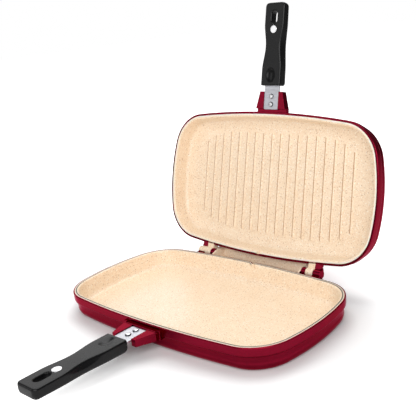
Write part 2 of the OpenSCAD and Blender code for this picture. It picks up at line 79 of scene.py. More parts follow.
class PanSizes(bpy.types.PropertyGroup):
    """Sizes of the two castings."""
    width: length("Width", 359.9, "Width of each pan over the rim")
    depth: length("Depth", 196, "Depth of each pan over the rim")
    corner: length("Corner radius", 53, "Radius of the four corners of the rim")
    long_bow: length("Long bow", 13.5, "Bow of the front and rear sides")
    short_bow: length("Short bow", 20, "Bow of the left and right sides")
    lower_height: length("Lower height", 30, "Height of the lower pan")
    upper_height: length("Upper height", 28, "Height of the upper pan")
    lower_floor: length("Lower floor", 4.5, "Thickness of the lower floor")
    upper_floor: length("Upper floor", 4, "Thickness of the upper floor")
    lower_fillet: length("Lower fillet", 7, "Radius between the lower wall and floor")
    upper_fillet: length("Upper fillet", 6, "Radius between the upper wall and floor")
    band: length("Band", 10, "Height of the thick band round each rim")
    rim: length("Rim", 7.2, "Width of the rim")
    groove: length("Groove", 1.2, "Width of the condensate groove")
    gasket: length("Gasket", 2, "Width of the silicone gasket")
    gasket_proud: length("Gasket proud", 0.35, "How far the gasket stands out")
    rib_count: bpy.props.IntProperty(name="Ribs", description="Number of grill ribs",
                                     default=18, min=1)
    rib_pitch: length("Rib pitch", 15.2, "Distance from one rib to the next")
    rib_width: length("Rib width", 4, "Width of a grill rib")
    rib_height: length("Rib height", 1.2, "Height of a grill rib")
    rib_length: length("Rib length", 140, "Length of the middle ribs")
    rib_end_cut: length("Rib end cut", 34, "How much shorter the outermost ribs are")


class HingeSizes(bpy.types.PropertyGroup):
    """Sizes of the two rear hinges and the gutter between them."""
    open_angle: bpy.props.FloatProperty(
        name="Open angle", description="Angle between the two rims",
        default=math.radians(104.5), subtype="ANGLE", unit="ROTATION")
    axis_back: length("Axis back", 7, "Distance of the axis behind the rim")
    axis_drop: length("Axis drop", 1.2, "Distance of the axis below the lower rim")
    shut_gap: length("Shut gap", 0.5, "Gap between the rims when shut")
    knuckle: length("Knuckle", 11, "Diameter of the knuckles")
    start: length("Start", 77, "Distance from the middle to each hinge")
    inner_knuckle: length("Inner knuckle", 6.5, "Length of the inner lower knuckle")
    upper_knuckle: length("Upper knuckle", 11, "Length of the upper knuckle")
    outer_knuckle: length("Outer knuckle", 11.5, "Length of the outer lower knuckle")
    play: length("Play", 0.4, "Play between neighbouring knuckles")
    gutter_back: length("Gutter back", 19, "Depth of the gutter behind the axis")
    gutter_depth: length("Gutter depth", 10, "Depth of the gutter floor below the rim")
    gutter_wall: length("Gutter wall", 2.5, "Wall thickness of the gutter")
    notch_width: length("Notch width", 8, "Width of the drain notch")
    notch_depth: length("Notch depth", 4, "Depth of the drain notch")


class HandleSizes(bpy.types.PropertyGroup):
    """Sizes of the brackets, tangs, rivets and grips."""
    tang_width: length("Tang width", 25, "Width of the steel tang")
    tang_thick: length("Tang thickness", 2.5, "Thickness of the steel tang")
    tang_drop: length("Tang drop", 5.3, "Depth of the tang top below the rim")
    tang_in_grip: length("Tang in grip", 34, "How far the tang runs inside the grip")
    bracket: length("Bracket", 28, "Length of the bracket")
    bracket_root: length("Bracket root", 54, "Width of the bracket at the rim")
    bracket_tip: length("Bracket tip", 39, "Width of the bracket at its tip")
    rivet_head: length("Rivet head", 7.2, "Diameter of a rivet head")
    rivet_rise: length("Rivet rise", 1.9, "Height of a rivet head")
    rivet_place: length("Rivet place", 10.5, "Distance from the rim to the inner rivet")
    rivet_pitch: length("Rivet pitch", 11, "Distance between the rivets")
    grip_gap: length("Grip gap", 36, "Distance from the rim to the grip")
    grip_length: length("Grip length", 114, "Length of a grip")
    grip_width: length("Grip width", 33.5, "Width of a grip at its ends")
    waist: length("Waist", 25, "Width of a grip at its waist")
    grip_thick: length("Grip thickness", 15, "Thickness of a grip at the pan end")
    grip_end_thick: length("Grip end thickness", 12.5, "Thickness at the far end")
    grip_corner: length("Grip corner", 6, "Radius of the far corners")
    slot_length: length("Slot length", 18, "Length of the hanging slot")
    slot_width: length("Slot width", 9.6, "Width of the hanging slot")
    slot_from_end: length("Slot from end", 20, "Distance from the far end to the slot")
    magnet_from_end: length("Magnet from end", 37, "Distance from the far end to the magnet")
    cap: length("Cap", 11, "Diameter of the magnet cap")
    screw_in_grip: length("Screw in grip", 22, "Distance from the pan end to the screw")


class Finishes(bpy.types.PropertyGroup):
    """Colours of the finishes."""
    enamel: colour("Enamel", "8A0929", "Burgundy metallic enamel")
    enamel_dark: colour("Enamel shade", "70061F", "Darker flakes of the enamel")
    ceramic: colour("Ceramic", "FDEBD2", "Cream ceramic coating")
    tan: colour("Tan mottle", "DDB68A", "Fine tan mottle of the ceramic")
    # Painted shade: this darker tan lies on the left flank of each rib and stands for the shade on
    # that side
    flank: colour("Rib flank", "B97F45", "Thin coating on the left flank of each rib")
    brown: colour("Brown speckle", "B58A5C", "Brown speckles of the ceramic")
    white: colour("White speckle", "FFF8EC", "White speckles of the ceramic")
    rim: colour("Rim", "EFE6D4", "Ivory line outside the groove")
    # Painted shade: the groove and the gasket's channel take this greyer tint, which stands for
    # the shade inside them
    groove: colour("Groove", "8C8276", "Shaded condensate groove")
    silicone: colour("Silicone", "F2EADC", "Silicone gasket")
    bakelite: colour("Bakelite", "0C0C0D", "Near-black moulded grips")
    steel: colour("Steel", "D8D9DF", "Brushed steel")
    chrome: colour("Polished steel", "F6F6F8", "Polished steel")
    # Painted shade: the outer ring of each rivet head takes this dark grey, which stands for the
    # shade round the head
    burnish: colour("Burnish", "4C4C52", "Darkened edge of a rivet")
    ferrite: colour("Ferrite", "4A4A4E", "Ferrite magnet")
    floor: colour("Floor", "F4F4F4", "Plain pale floor")


# ---------------------------------------------------------------- materials

COORDS, MAPPING, BUMP = "ShaderNodeTexCoord", "ShaderNodeMapping", "ShaderNodeBump"
NOISE, CELLS = "ShaderNodeTexNoise", "ShaderNodeTexVoronoi"
SPREAD, BLEND = "ShaderNodeMapRange", "ShaderNodeMix"
MATHS, VECTORS, LIGHT_PATH = "ShaderNodeMath", "ShaderNodeVectorMath", "ShaderNodeLightPath"
WHITE = (1, 1, 1, 1)


def feed(tree, node, inputs):
    """Sets a node's inputs to values, or links them to other nodes' outputs."""
    for socket, value in inputs.items():
        if isinstance(value, bpy.types.NodeSocket):
            tree.links.new(value, node.inputs[socket])
        else:
            node.inputs[socket].default_value = value


def add(tree, kind, inputs, out=0, **settings):
    """Adds a node with its settings and its inputs set or linked. Gives one output."""
    node = tree.nodes.new(kind)
    for name, value in settings.items():
        setattr(node, name, value)
    feed(tree, node, inputs)
    return node.outputs[out]


def per_mm(size):
    """The scale of a pattern whose features are about this many millimetres wide."""
    return 1 / (size * MM)


def finish_of(name, values, grain=(1, 1, 1)):
    """A material with a Principled shader holding these values, its tree and shader, and
    its object coordinates in metres, stretched by the grain."""
    material = bpy.data.materials.new(name)
    material.use_nodes = True
    tree = material.node_tree
    shader = tree.nodes["Principled BSDF"]
    feed(tree, shader, values)
    place = add(tree, MAPPING, {"Vector": add(tree, COORDS, {}, "Object"), "Scale": grain})
    return material, tree, shader, place


def sprayed_enamel(f):
    """Silicone enamel with metal flakes, sprayed on cast aluminium. The eye sees
    a deep wine red that turns lighter in broad soft highlights. The flakes are
    drawn over 1 mm wide, because real ones would be too fine to show."""
    material, tree, shader, place = finish_of("burgundy_metallic_enamel", {
        "Metallic": 1.0, "Specular Tint": (1.0, 0.4, 0.5, 1.0), "Coat Weight": 0.1,
        "Coat Roughness": 0.12})
    cell = add(tree, CELLS, {"Vector": place, "Scale": per_mm(1.3)}, "Color")
    flake = add(tree, "ShaderNodeSeparateColor", {0: cell})
    drift = add(tree, NOISE, {"Vector": place, "Scale": per_mm(45)})
    orange_peel = add(tree, NOISE, {"Vector": place, "Scale": per_mm(2.2), "Detail": 1})
    share = add(tree, MATHS, {
        0: add(tree, SPREAD, {"Value": flake, "To Max": 0.4}),
        1: add(tree, SPREAD, {"Value": drift, "From Min": 0.3, "From Max": 0.7, "To Max": 0.35})})
    feed(tree, shader, {
        "Base Color": add(tree, BLEND, {0: share, 6: f.enamel, 7: f.enamel_dark}, 2,
                          data_type="RGBA"),
        "Roughness": add(tree, SPREAD, {"Value": flake, "To Min": 0.22, "To Max": 0.27}),
        "Normal": add(tree, BUMP, {"Height": orange_peel, "Strength": 0.04,
                                   "Distance": 0.05 * MM})})
    return material


def marbled_ceramic(f):
    """Sol-gel ceramic coating with a marble effect, sprayed and fired. The eye
    sees warm cream with small tan and white specks under a soft satin gloss."""
    material, tree, shader, place = finish_of("cream_marbled_ceramic", {
        "IOR": 1.5, "Coat Weight": 0.4, "Coat Roughness": 0.22})
    soft = add(tree, NOISE, {"Vector": place, "Scale": per_mm(18), "Detail": 4})
    cloud = add(tree, SPREAD, {"Value": soft, "From Min": 0.35, "From Max": 0.7})
    fine = add(tree, NOISE, {"Vector": place, "Scale": per_mm(1.5), "Detail": 3})
    aside = add(tree, VECTORS, {0: place, 1: (0.031, 0.017, 0.023)})
    pale, brown = (add(tree, CELLS, {"Vector": where, "Scale": per_mm(size)})
                   for where, size in ((aside, 3.4), (place, 3.3)))
    base = f.ceramic
    for share, tint in (
            (add(tree, SPREAD, {"Value": cloud, "To Max": 0.16}), f.tan),
            (add(tree, SPREAD, {"Value": fine, "From Min": 0.35, "From Max": 0.68,
                                "To Max": 0.5}), f.tan),
            (add(tree, SPREAD, {"Value": pale, "From Min": 0.16, "From Max": 0.28,
                                "To Min": 0.7, "To Max": 0}), f.white),
            (add(tree, SPREAD, {"Value": brown, "From Min": 0.12, "From Max": 0.26,
                                "To Min": 0.7, "To Max": 0}), f.brown)):
        base = add(tree, BLEND, {0: share, 6: base, 7: tint}, 2, data_type="RGBA")
    dimples = add(tree, NOISE, {"Vector": place, "Scale": per_mm(1.6), "Detail": 1})
    feed(tree, shader, {
        "Base Color": base,
        "Roughness": add(tree, SPREAD, {"Value": cloud, "To Min": 0.30, "To Max": 0.42}),
        "Normal": add(tree, BUMP, {"Height": dimples, "Strength": 0.08, "Distance": 0.1 * MM})})
    return material


def rim_tint_and_painted_shade(f, name, tint, roughness):
    """A flat tint a little duller than the ceramic on the floor: the ivory line of the rim in its
    own colour, and painted shade in the groove and on one flank of each rib. The eye sees one even
    tint with faint greyer patches."""
    material, tree, shader, place = finish_of(name, {"IOR": 1.5})
    soft = add(tree, NOISE, {"Vector": place, "Scale": per_mm(7), "Detail": 3})
    patch = add(tree, SPREAD, {"Value": soft, "From Min": 0.35, "From Max": 0.65, "To Max": 0.18})
    feed(tree, shader, {
        "Base Color": add(tree, BLEND, {0: patch, 6: tint, 7: f.groove}, 2, data_type="RGBA"),
        "Roughness": add(tree, SPREAD, {"Value": patch, "From Max": 0.18, "To Min": roughness,
                                        "To Max": roughness + 0.12})})
    return material


def moulded_bakelite(f):
    """Phenolic resin pressed in a spark-eroded mould. The eye sees near-black
    with a fine even grain that breaks up a broad satin highlight."""
    material, tree, shader, place = finish_of("moulded_bakelite", {
        "IOR": 1.5, "Specular IOR Level": 0.24})
    grain = add(tree, NOISE, {"Vector": place, "Scale": per_mm(0.9)})
    soft = add(tree, NOISE, {"Vector": place, "Scale": per_mm(16), "Detail": 3})
    handled = add(tree, SPREAD, {"Value": soft, "From Min": 0.35, "From Max": 0.65})
    feed(tree, shader, {
        "Base Color": add(tree, BLEND, {0: add(tree, SPREAD, {"Value": handled, "To Max": 0.25}),
                                        6: f.bakelite, 7: srgb("151516")}, 2, data_type="RGBA"),
        "Roughness": add(tree, SPREAD, {"Value": handled, "To Min": 0.23, "To Max": 0.3}),
        "Normal": add(tree, BUMP, {"Height": grain, "Strength": 0.12, "Distance": 0.05 * MM})})
    return material


def soft_silicone(f):
    """Moulded silicone rubber. The eye sees a milky ivory bead."""
    material, tree, shader, place = finish_of("milky_silicone", {
        "IOR": 1.41, "Subsurface Weight": 0.25, "Subsurface Scale": 0.002})
    soft = add(tree, NOISE, {"Vector": place, "Scale": per_mm(9)})
    cloud = add(tree, SPREAD, {"Value": soft, "From Min": 0.3, "From Max": 0.7, "To Max": 0.12})
    feed(tree, shader, {
        "Base Color": add(tree, BLEND, {0: cloud, 6: f.silicone, 7: f.rim}, 2, data_type="RGBA"),
        "Roughness": add(tree, SPREAD, {"Value": cloud, "From Max": 0.12, "To Min": 0.45,
                                        "To Max": 0.55})})
    return material


def brushed_metal(name, tint, stretch, roughness, wear):
    """Stainless steel with a brushed or turned finish. The eye sees pale metal
    with fine scratches that draw the highlight out across them. The scratches
    are drawn over 1 mm wide, because real ones would be too fine to show."""
    material, tree, shader, place = finish_of(name, {"Metallic": 1.0}, stretch)
    streak = add(tree, NOISE, {"Vector": place, "Scale": per_mm(1.2), "Detail": 3})
    share = add(tree, SPREAD, {"Value": streak, "From Min": 0.35, "From Max": 0.65})
    darker = tuple((1 - wear) * c for c in tint[:3]) + (1.0,)
    feed(tree, shader, {
        "Base Color": add(tree, BLEND, {0: share, 6: tint, 7: darker}, 2, data_type="RGBA"),
        "Roughness": add(tree, SPREAD, {"Value": streak, "From Min": 0.3, "From Max": 0.7,
                                        "To Min": roughness, "To Max": roughness + wear / 2}),
        "Normal": add(tree, BUMP, {"Height": streak, "Strength": wear / 5,
                                   "Distance": 0.03 * MM})})
    return material


def pressed_ferrite(f):
    """Sintered ferrite. The eye sees dull dark grey with a faint grain."""
    material, tree, shader, place = finish_of("pressed_ferrite", {"IOR": 2.0, "Roughness": 0.6})
    grain = add(tree, NOISE, {"Vector": place, "Scale": per_mm(0.6)})
    share = add(tree, SPREAD, {"Value": grain, "From Min": 0.3, "From Max": 0.7, "To Max": 0.3})
    feed(tree, shader, {"Base Color": add(
        tree, BLEND, {0: share, 6: f.ferrite, 7: srgb("2C2C30")}, 2, data_type="RGBA")})
    return material


def backdrop_paint(f):
    """Matt seamless paper. The eye sees a pale floor that glows for camera rays only, faintly near
    the pan and more further off: painted light, so no horizon shows while the shadows near the pan
    stay."""
    material, tree, shader, place = finish_of("backdrop_with_painted_glow", {
        "Roughness": 0.9, "Specular IOR Level": 0.1, "Emission Color": WHITE})
    soft = add(tree, NOISE, {"Vector": place, "Scale": per_mm(90)})
    mottle = add(tree, SPREAD, {"Value": soft, "From Min": 0.3, "From Max": 0.7, "To Max": 0.04})
    oval = add(tree, MAPPING, {"Vector": add(tree, COORDS, {}, "Object"), "Scale": (0.7, 1.15, 1)})
    away = add(tree, VECTORS, {0: oval}, "Value", operation="LENGTH")
    feed(tree, shader, {
        "Base Color": add(tree, BLEND, {0: mottle, 6: f.floor, 7: srgb("E8E8E8")}, 2,
                          data_type="RGBA"),
        # Painted light: the glow is seen by camera rays only and grows with the distance from the
        # pan
        "Emission Strength": add(tree, MATHS, {
            0: add(tree, LIGHT_PATH, {}, "Is Camera Ray"),
            1: add(tree, SPREAD, {"Value": away, "From Min": 0.135, "From Max": 0.31,
                                  "To Min": 0.02})}, operation="MULTIPLY")})
    return material


@functools.cache
def material_called(name):
    """The finish of this name, made the first time it is asked for."""
    f = bpy.context.scene.flip_pan_finishes
    even = (1, 1, 1)
    make, *given = {
        "enamel": (sprayed_enamel, f),
        "ceramic": (marbled_ceramic, f),
        "rim": (rim_tint_and_painted_shade, f, "ivory_rim_coating", f.rim, 0.4),
        "groove": (rim_tint_and_painted_shade, f, "thin_groove_coating", f.groove, 0.5),
        "rib flank": (rim_tint_and_painted_shade, f, "thin_rib_flank_coating", f.flank, 0.4),
        "bakelite": (moulded_bakelite, f),
        "silicone": (soft_silicone, f),
        "steel": (brushed_metal, "brushed_stainless_steel", f.steel, (0.12, 1, 1), 0.38, 0.16),
        "rivet": (brushed_metal, "tumbled_steel", f.chrome, even, 0.3, 0.1),
        "rivet edge": (brushed_metal, "burnished_rivet_edge", f.burnish, even, 0.4, 0.28),
        "chrome": (brushed_metal, "polished_stainless_steel", f.chrome, even, 0.24, 0.06),
        "ferrite": (pressed_ferrite, f),
        "floor": (backdrop_paint, f),
    }[name]
    return make(*given)


# ---------------------------------------------------------------- mesh tools

def arc(centre, radius, start, end, steps):
    """Points of an arc, in degrees."""
    angles = [math.radians(start + (end - start) * i / steps) for i in range(steps + 1)]
    return [(centre[0] + radius * math.cos(a), centre[1] + radius * math.sin(a)) for a in angles]


def skin(mesh, rings, materials, closed_ends=True):
    """Faces between neighbouring rings of points. The material number of each
    band of faces is given, and the two ends are closed by a fan."""
    rows = [[mesh.verts.new(p) for p in ring] for ring in rings]
    count = len(rows[0])
    for row, next_row, number in zip(rows, rows[1:], materials):
        for i in range(count):
            j = (i + 1) % count
            mesh.faces.new((row[i], row[j], next_row[j], next_row[i])).material_index = number
    if closed_ends:
        for row, number in ((rows[0], materials[0]), (rows[-1], materials[-1])):
            centre = mesh.verts.new(sum((v.co for v in row), Vector()) / count)
            for i in range(count):
                mesh.faces.new((row[i], row[(i + 1) % count], centre)).material_index = number


def lathe(mesh, profile, place, number=0, steps=40):
    """A round solid from (radius, height) points, turned about Z and put in place."""
    turns = [2 * math.pi * i / steps for i in range(steps)]
    rings = [[place @ Vector((r * math.cos(a), r * math.sin(a), z)) for a in turns]
             for r, z in profile]
    skin(mesh, rings, [number] * (len(profile) - 1))


def solid(mesh, low_points, high_points, number=0, edge=0.0):
    """A solid between two like polygons, with rounded edges."""
    low, high = ([mesh.verts.new(p) for p in points] for points in (low_points, high_points))
    faces = [mesh.faces.new(low), mesh.faces.new(high)]
    for i in range(len(low)):
        j = (i + 1) % len(low)
        faces.append(mesh.faces.new((low[i], low[j], high[j], high[i])))
    for face in faces:
        face.material_index = number
    if edge:
        edges = list(dict.fromkeys(e for face in faces for e in face.edges))
        bmesh.ops.bevel(mesh, geom=edges, offset=edge, offset_type="OFFSET", segments=3,
                        profile=0.5, affect="EDGES", clamp_overlap=True, material=-1)


def prism(mesh, points, start, end, number=0, edge=0.0):
    """A plate of the (y, z) polygon between two places along X, with rounded edges."""
    ends = sorted((start, end))
    solid(mesh, *([(x, y, z) for y, z in points] for x in ends), number, edge)


def block(mesh, y, z, x, number=0, edge=0.0):
    """A block between two values of y, z and x, with rounded edges."""
    prism(mesh, [(y[0], z[0]), (y[1], z[0]), (y[1], z[1]), (y[0], z[1])], *x, number, edge)


def as_object(name, mesh):
    data = bpy.data.meshes.new(name)
    mesh.to_mesh(data)
    mesh.free()
    thing = bpy.data.objects.new(name, data)
    bpy.context.scene.collection.objects.link(thing)
    return thing


def dressed(name, data, materials, body, nodes):
    """Makes a mesh a piece that rides on a body and stands for CAD nodes."""
    for number, material in enumerate(materials):
        if number < len(data.materials):
            data.materials[number] = material_called(material)
        else:
            data.materials.append(material_called(material))
    data.shade_smooth()
    data.set_sharp_from_angle(angle=math.radians(38))
    shown = bpy.data.objects.new(name, data)
    bpy.context.scene.collection.objects.link(shown)
    shown.modifiers.new("flat faces stay flat", "WEIGHTED_NORMAL").keep_sharp = True
    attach(shown, body)
    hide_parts(*nodes)


def piece(name, mesh, materials, body, nodes):
    """Closes the seams of a mesh in the making, turns its faces out and dresses it."""
    bmesh.ops.remove_doubles(mesh, verts=mesh.verts, dist=1e-7)
    bmesh.ops.recalc_face_normals(mesh, faces=mesh.faces)
    data = bpy.data.meshes.new(name)
    mesh.to_mesh(data)
    mesh.free()
    dressed(name, data, materials, body, nodes)


def plain_mesh(source):
    """The object's evaluated mesh. The object itself is removed."""
    bpy.context.view_layer.update()
    graph = bpy.context.evaluated_depsgraph_get()
    data = bpy.data.meshes.new_from_object(source.evaluated_get(graph))
    bpy.data.objects.remove(source)
    return data


def put(data, place):
    """Moves a mesh, and turns its faces out again where the move mirrors it."""
    data.transform(place)
    if place.is_negative:
        data.flip_normals()


def tree_with(name, sockets):
    """A Geometry Nodes tree with these inputs, its input sockets and its output node."""
    tree = bpy.data.node_groups.new(name, "GeometryNodeTree")
    for key, kind in sockets.items():
        tree.interface.new_socket(key, in_out="INPUT", socket_type="NodeSocket" + kind)
    tree.interface.new_socket("Geometry", in_out="OUTPUT", socket_type="NodeSocketGeometry")
    return tree, tree.nodes.new("NodeGroupInput").outputs, tree.nodes.new("NodeGroupOutput")


def with_nodes(name, tree, values):
    """The plain mesh that a Geometry Nodes tree makes with these named values."""
    holder = bpy.data.objects.new(name, bpy.data.meshes.new(name))
    bpy.context.scene.collection.objects.link(holder)
    modifier = holder.modifiers.new(name, "NODES")
    modifier.node_group = tree
    for item in tree.interface.items_tree:
        if item.in_out == "INPUT":
            modifier[item.identifier] = values[item.name]
    return plain_mesh(holder)


# ---------------------------------------------------------------- rim outline

def bow_radius(half_chord, bow):
    return (half_chord ** 2 + bow ** 2) / (2 * bow)


def rim_stations(s):
    """Points all round the rim with their outward normals. Each quarter is a
    short-side arc, a corner arc and a long-side arc, all tangent."""
    half_w, half_d, corner = s.width / 2, s.depth / 2, s.corner
    long_r, short_r = bow_radius(half_w, s.long_bow), bow_radius(half_d, s.short_bow)
    long_c, short_c = Vector((0, half_d - long_r)), Vector((half_w - short_r, 0))
    gap = short_c - long_c
    to_long, to_short = long_r - corner, short_r - corner
    along = (to_long ** 2 - to_short ** 2 + gap.length ** 2) / (2 * gap.length)
    across = math.sqrt(to_long ** 2 - along ** 2)
    away = gap.normalized()
    corner_c = long_c + along * away + across * Vector((away.y, -away.x))
    long_a = math.atan2(corner_c.y - long_c.y, corner_c.x)
    short_a = math.atan2(corner_c.y, corner_c.x - short_c.x)
    # Stations lie close together near the drain notch
    notch_reach = 5 * MM
    notch_a = math.pi / 2 - notch_reach / long_r
    quarter = []
    for centre, radius, start, end, steps in (
            (short_c, short_r, 0, short_a, 8), (corner_c, corner, short_a, long_a, 22),
            (long_c, long_r, long_a, notch_a, 22), (long_c, long_r, notch_a, math.pi / 2, 10)):
        for i in range(steps):
            a = start + (end - start) * i / steps
            normal = Vector((math.cos(a), math.sin(a)))
            quarter.append((centre + radius * normal, normal))

    def mirrored(stations, across_x, across_y):
        return [tuple(Vector((across_x * v.x, across_y * v.y)) for v in station)
                for station in stations]

    rear_middle = [(Vector((0, half_d)), Vector((0, 1)))]
    rear = quarter + rear_middle + mirrored(reversed(quarter[1:]), -1, 1)
    return rear + [(Vector((-half_w, 0)), Vector((-1, 0)))] + mirrored(rear[1:], -1, -1)


def rim_y(s, x):
    """Distance of the rim's long side from the middle at x."""
    radius = bow_radius(s.width / 2, s.long_bow)
    return s.depth / 2 - radius + math.sqrt(radius ** 2 - x ** 2)


def ring_at(stations, inset, height):
    return [Vector((p.x - inset * n.x, p.y - inset * n.y, height)) for p, n in stations]


# ---------------------------------------------------------------- castings

# Roundings of the rim, and the band's taper and step down to the wall
RIM_ROUND, INNER_ROUND, EDGE = mm(0.9, 2.2, 0.25)
BAND_DRAFT, STEP_IN, STEP_DROP = mm(0.5, 1.8, 1.2)
# The floor rises to its fillet on a shallow ramp, RAMP_RUN wide with a soft start
FLOOR_REACH, RAMP_RUN, RAMP_SOFT = mm(27, 9, 1.2)
# Slopes in degrees
RAMP, WALL_DRAFT, INNER_DRAFT = 8, 14, 7
# Where the groove and the gasket's channel lie from the outer edge, and how deep
RED_EDGE, GROOVE_IN, GROOVE_DEEP, GASKET_IN, GASKET_DEEP = mm(1.8, 3.3, 1, 3.1, 2.2)
LOWER_BASE, UPPER_BASE = mm(12, 14)
# How deep a solid bites into the wall or the knuckle that it grows from
WALL_BITE, KNUCKLE_BITE = mm(3.5, 1)
ENAMEL, CERAMIC, RIM_LINE, GROOVE = range(4)
CAST_FINISHES = ("enamel", "ceramic", "rim", "groove")


def wall_section(s, height, floor, fillet, base_end, channel, deep, ivory):
    """Section of floor, wall and rim as (inset, height, material of the face that
    starts there), from the floor up, over the rim and down to the base. Outside the
    channel, the rim is ivory up to a red edge, or all red."""
    ramp, draft, slope = map(math.radians, (RAMP, INNER_DRAFT, WALL_DRAFT))
    fillet_z = floor + RAMP_RUN * math.tan(ramp) + fillet * math.cos(ramp)
    foot_z = fillet_z - fillet * math.sin(draft)
    foot_in = s.rim + (height - INNER_ROUND - foot_z) * math.tan(draft)
    fillet_in = foot_in + fillet * math.cos(draft)
    ramp_end = fillet_in - fillet * math.sin(ramp) + RAMP_RUN
    base_r = base_end / (1 + math.sin(slope))
    step_z = height - s.band - STEP_DROP
    wall_in = BAND_DRAFT + STEP_IN + (step_z - base_end) * math.tan(slope)

    inner = [(FLOOR_REACH, floor), (ramp_end + RAMP_SOFT, floor),
             (ramp_end - RAMP_SOFT, floor + RAMP_SOFT * math.tan(ramp))]
    inner += arc((fillet_in, fillet_z), fillet, 270 - RAMP, 180 + INNER_DRAFT, 10)
    inner += arc((s.rim - INNER_ROUND, height - INNER_ROUND), INNER_ROUND, 0, 90, 6)
    near, far = channel
    bed = height - deep
    groove = [(far + EDGE, height), (far, height - EDGE), (far, bed + EDGE), (far - EDGE, bed),
              (near + EDGE, bed), (near, bed + EDGE), (near, height - EDGE), (near - EDGE, height)]
    # The channel's faces take the groove tint, painted shade inside the channel
    groove_finish = [GROOVE] * 7 + [RIM_LINE] if ivory else [GROOVE] * 6 + [ENAMEL] * 2
    outer = [(RED_EDGE, height)] if ivory else []
    outer += arc((RIM_ROUND, height - RIM_ROUND), RIM_ROUND, 90, 180, 5)
    outer += [(BAND_DRAFT * 0.9, height - s.band + 1 * MM), (BAND_DRAFT + EDGE, height - s.band),
              (BAND_DRAFT + STEP_IN - EDGE, step_z),
              (BAND_DRAFT + STEP_IN + EDGE, step_z - 2 * EDGE)]
    outer += arc((wall_in + base_r * math.cos(slope), base_r), base_r, 180 - WALL_DRAFT, 270, 12)
    return ([(x, z, CERAMIC) for x, z in inner]
            + [(x, z, finish) for (x, z), finish in zip(groove, groove_finish)]
            + [(x, z, ENAMEL) for x, z in outer])


def cast_shell(mesh, s, section, notch=None):
    """Sweeps the section round the rim and closes floor and base. A notch is
    (half width, depth) of a V cut through the rear rim."""
    stations = rim_stations(s)
    rings = [ring_at(stations, inset, z) for inset, z, _ in section]
    if notch:
        half, depth = notch
        rim_z = max(z for _, z, _ in section)
        for point in sum(rings, []):
            if point.y > 0 and abs(point.x) < half:
                point.z = min(point.z, rim_z - depth * (1 - abs(point.x) / half))
    floor_rings, base_rings = (
        [[Vector((p.x * share, p.y * share, p.z)) for p in ring] for share in shares]
        for ring, shares in ((rings[0], (0.3, 0.6, 0.85)), (rings[-1], (0.8, 0.4))))
    numbers = [CERAMIC] * 3 + [m for _, _, m in section[:-1]] + [ENAMEL] * 2
    skin(mesh, floor_rings + rings + base_rings, numbers)


def hinge_axis(s, g):
    """Distance back and height of the hinge axis."""
    return s.depth / 2 + g.axis_back, s.lower_height - g.axis_drop


def swing_open(s, g):
    axis = Vector((0, *hinge_axis(s, g)))
    return (Matrix.Translation(axis) @ Matrix.Rotation(-g.open_angle, 4, "X")
            @ Matrix.Translation(-axis))


def face_down(s, g):
    shut = s.lower_height + g.shut_gap + s.upper_height
    return Matrix.Translation((0, 0, shut)) @ Matrix.Diagonal((1, 1, -1, 1))


def upper_place(s, g):
    """From a rim-up drawing of the upper pan to its place in the open pan."""
    return swing_open(s, g) @ face_down(s, g)


def knuckle_spans(g):
    """Where the inner, upper and outer knuckles start and end."""
    spans, start = [], g.start
    for long in (g.inner_knuckle, g.upper_knuckle, g.outer_knuckle):
        spans.append((start, start + long))
        start += long + g.play
    return spans


def knuckle(mesh, s, g, start, end, number):
    """A round knuckle along X on the hinge axis, with rounded edges."""
    low, high = sorted((start, end))
    radius, edge = g.knuckle / 2, 0.7 * MM
    profile = [(radius / 2, low)] + arc((radius - edge, low + edge), edge, -90, 0, 4)
    profile += arc((radius - edge, high - edge), edge, 0, 90, 4) + [(radius / 2, high)]
    place = Matrix.Translation((0, *hinge_axis(s, g))) @ Matrix.Rotation(math.pi / 2, 4, "Y")
    lathe(mesh, profile, place, number)


def in_knuckle(s, g, angle):
    """A point just inside the knuckle's surface, as (y, z), at an angle in degrees."""
    return arc(hinge_axis(s, g), g.knuckle / 2 - KNUCKLE_BITE, angle, angle, 1)[0]


def bracket(mesh, s, h, height, tied=True):
    """Two cheeks beside the tang and a floor under it. Where it is tied, a sill
    and a lip lie across the root, and an upright block ties each end of the lip."""
    front = -s.depth / 2
    tip, bite = front - h.bracket, front + WALL_BITE
    lip_out, lip_thick, lip_half, lip_below, sill_below = mm(4.4, 2, 25, 3.6, 4.8)
    cheek_below, tip_deep, more_at_root, play, narrower = mm(4.1, 12.5, 2.5, 0.3, 2)
    step_back, ledge_below, untied_ledge_below = mm(1, 5.2, 7.8)
    block_deep, block_out, block_below, block_wide = mm(14, 2.5, 3, 4.5)
    floor_thick, floor_long, floor_wider = mm(3, 24, 1)
    soft, softer = mm(0.3, 0.6)
    lip_y = front - lip_out
    inner = h.tang_width / 2 + play
    root = h.bracket_root / 2 - (0 if tied else narrower)
    ledge_y = lip_y - step_back
    cheek = [(inner, lip_y), (inner, tip), (h.bracket_tip / 2, tip), (root, lip_y - 0.5 * MM),
             (root, lip_y)]
    ledge = [(inner, bite), (inner, ledge_y), (root, ledge_y), (root, bite)]
    ledge_top = height - (ledge_below if tied else untied_ledge_below)
    for side in (-1, 1):
        for plan, top, edge in ((cheek, height - cheek_below, softer), (ledge, ledge_top, soft)):
            under = [(side * x, y, height - tip_deep - more_at_root * (y - tip) / (bite - tip))
                     for x, y in plan]
            solid(mesh, under, [(side * x, y, top) for x, y in plan], edge=edge)
        if tied:
            x = side * (h.bracket_root / 2 - step_back)
            block(mesh, (bite, front - block_out), (height - block_deep, height - block_below),
                  (x, x + side * block_wide), edge=softer)
    tang_bottom = height - h.tang_drop - h.tang_thick
    bottom, half = tang_bottom - floor_thick, h.tang_width / 2 + floor_wider
    block(mesh, (front - floor_long, bite), (bottom, tang_bottom), (-half, half), edge=soft)
    if tied:
        block(mesh, (lip_y + step_back, bite), (bottom, height - sill_below),
              (-lip_half, lip_half), edge=0.4 * MM)
        block(mesh, (lip_y, lip_y + lip_thick), (bottom, height - lip_below),
              (-lip_half, lip_half), edge=0.5 * MM)


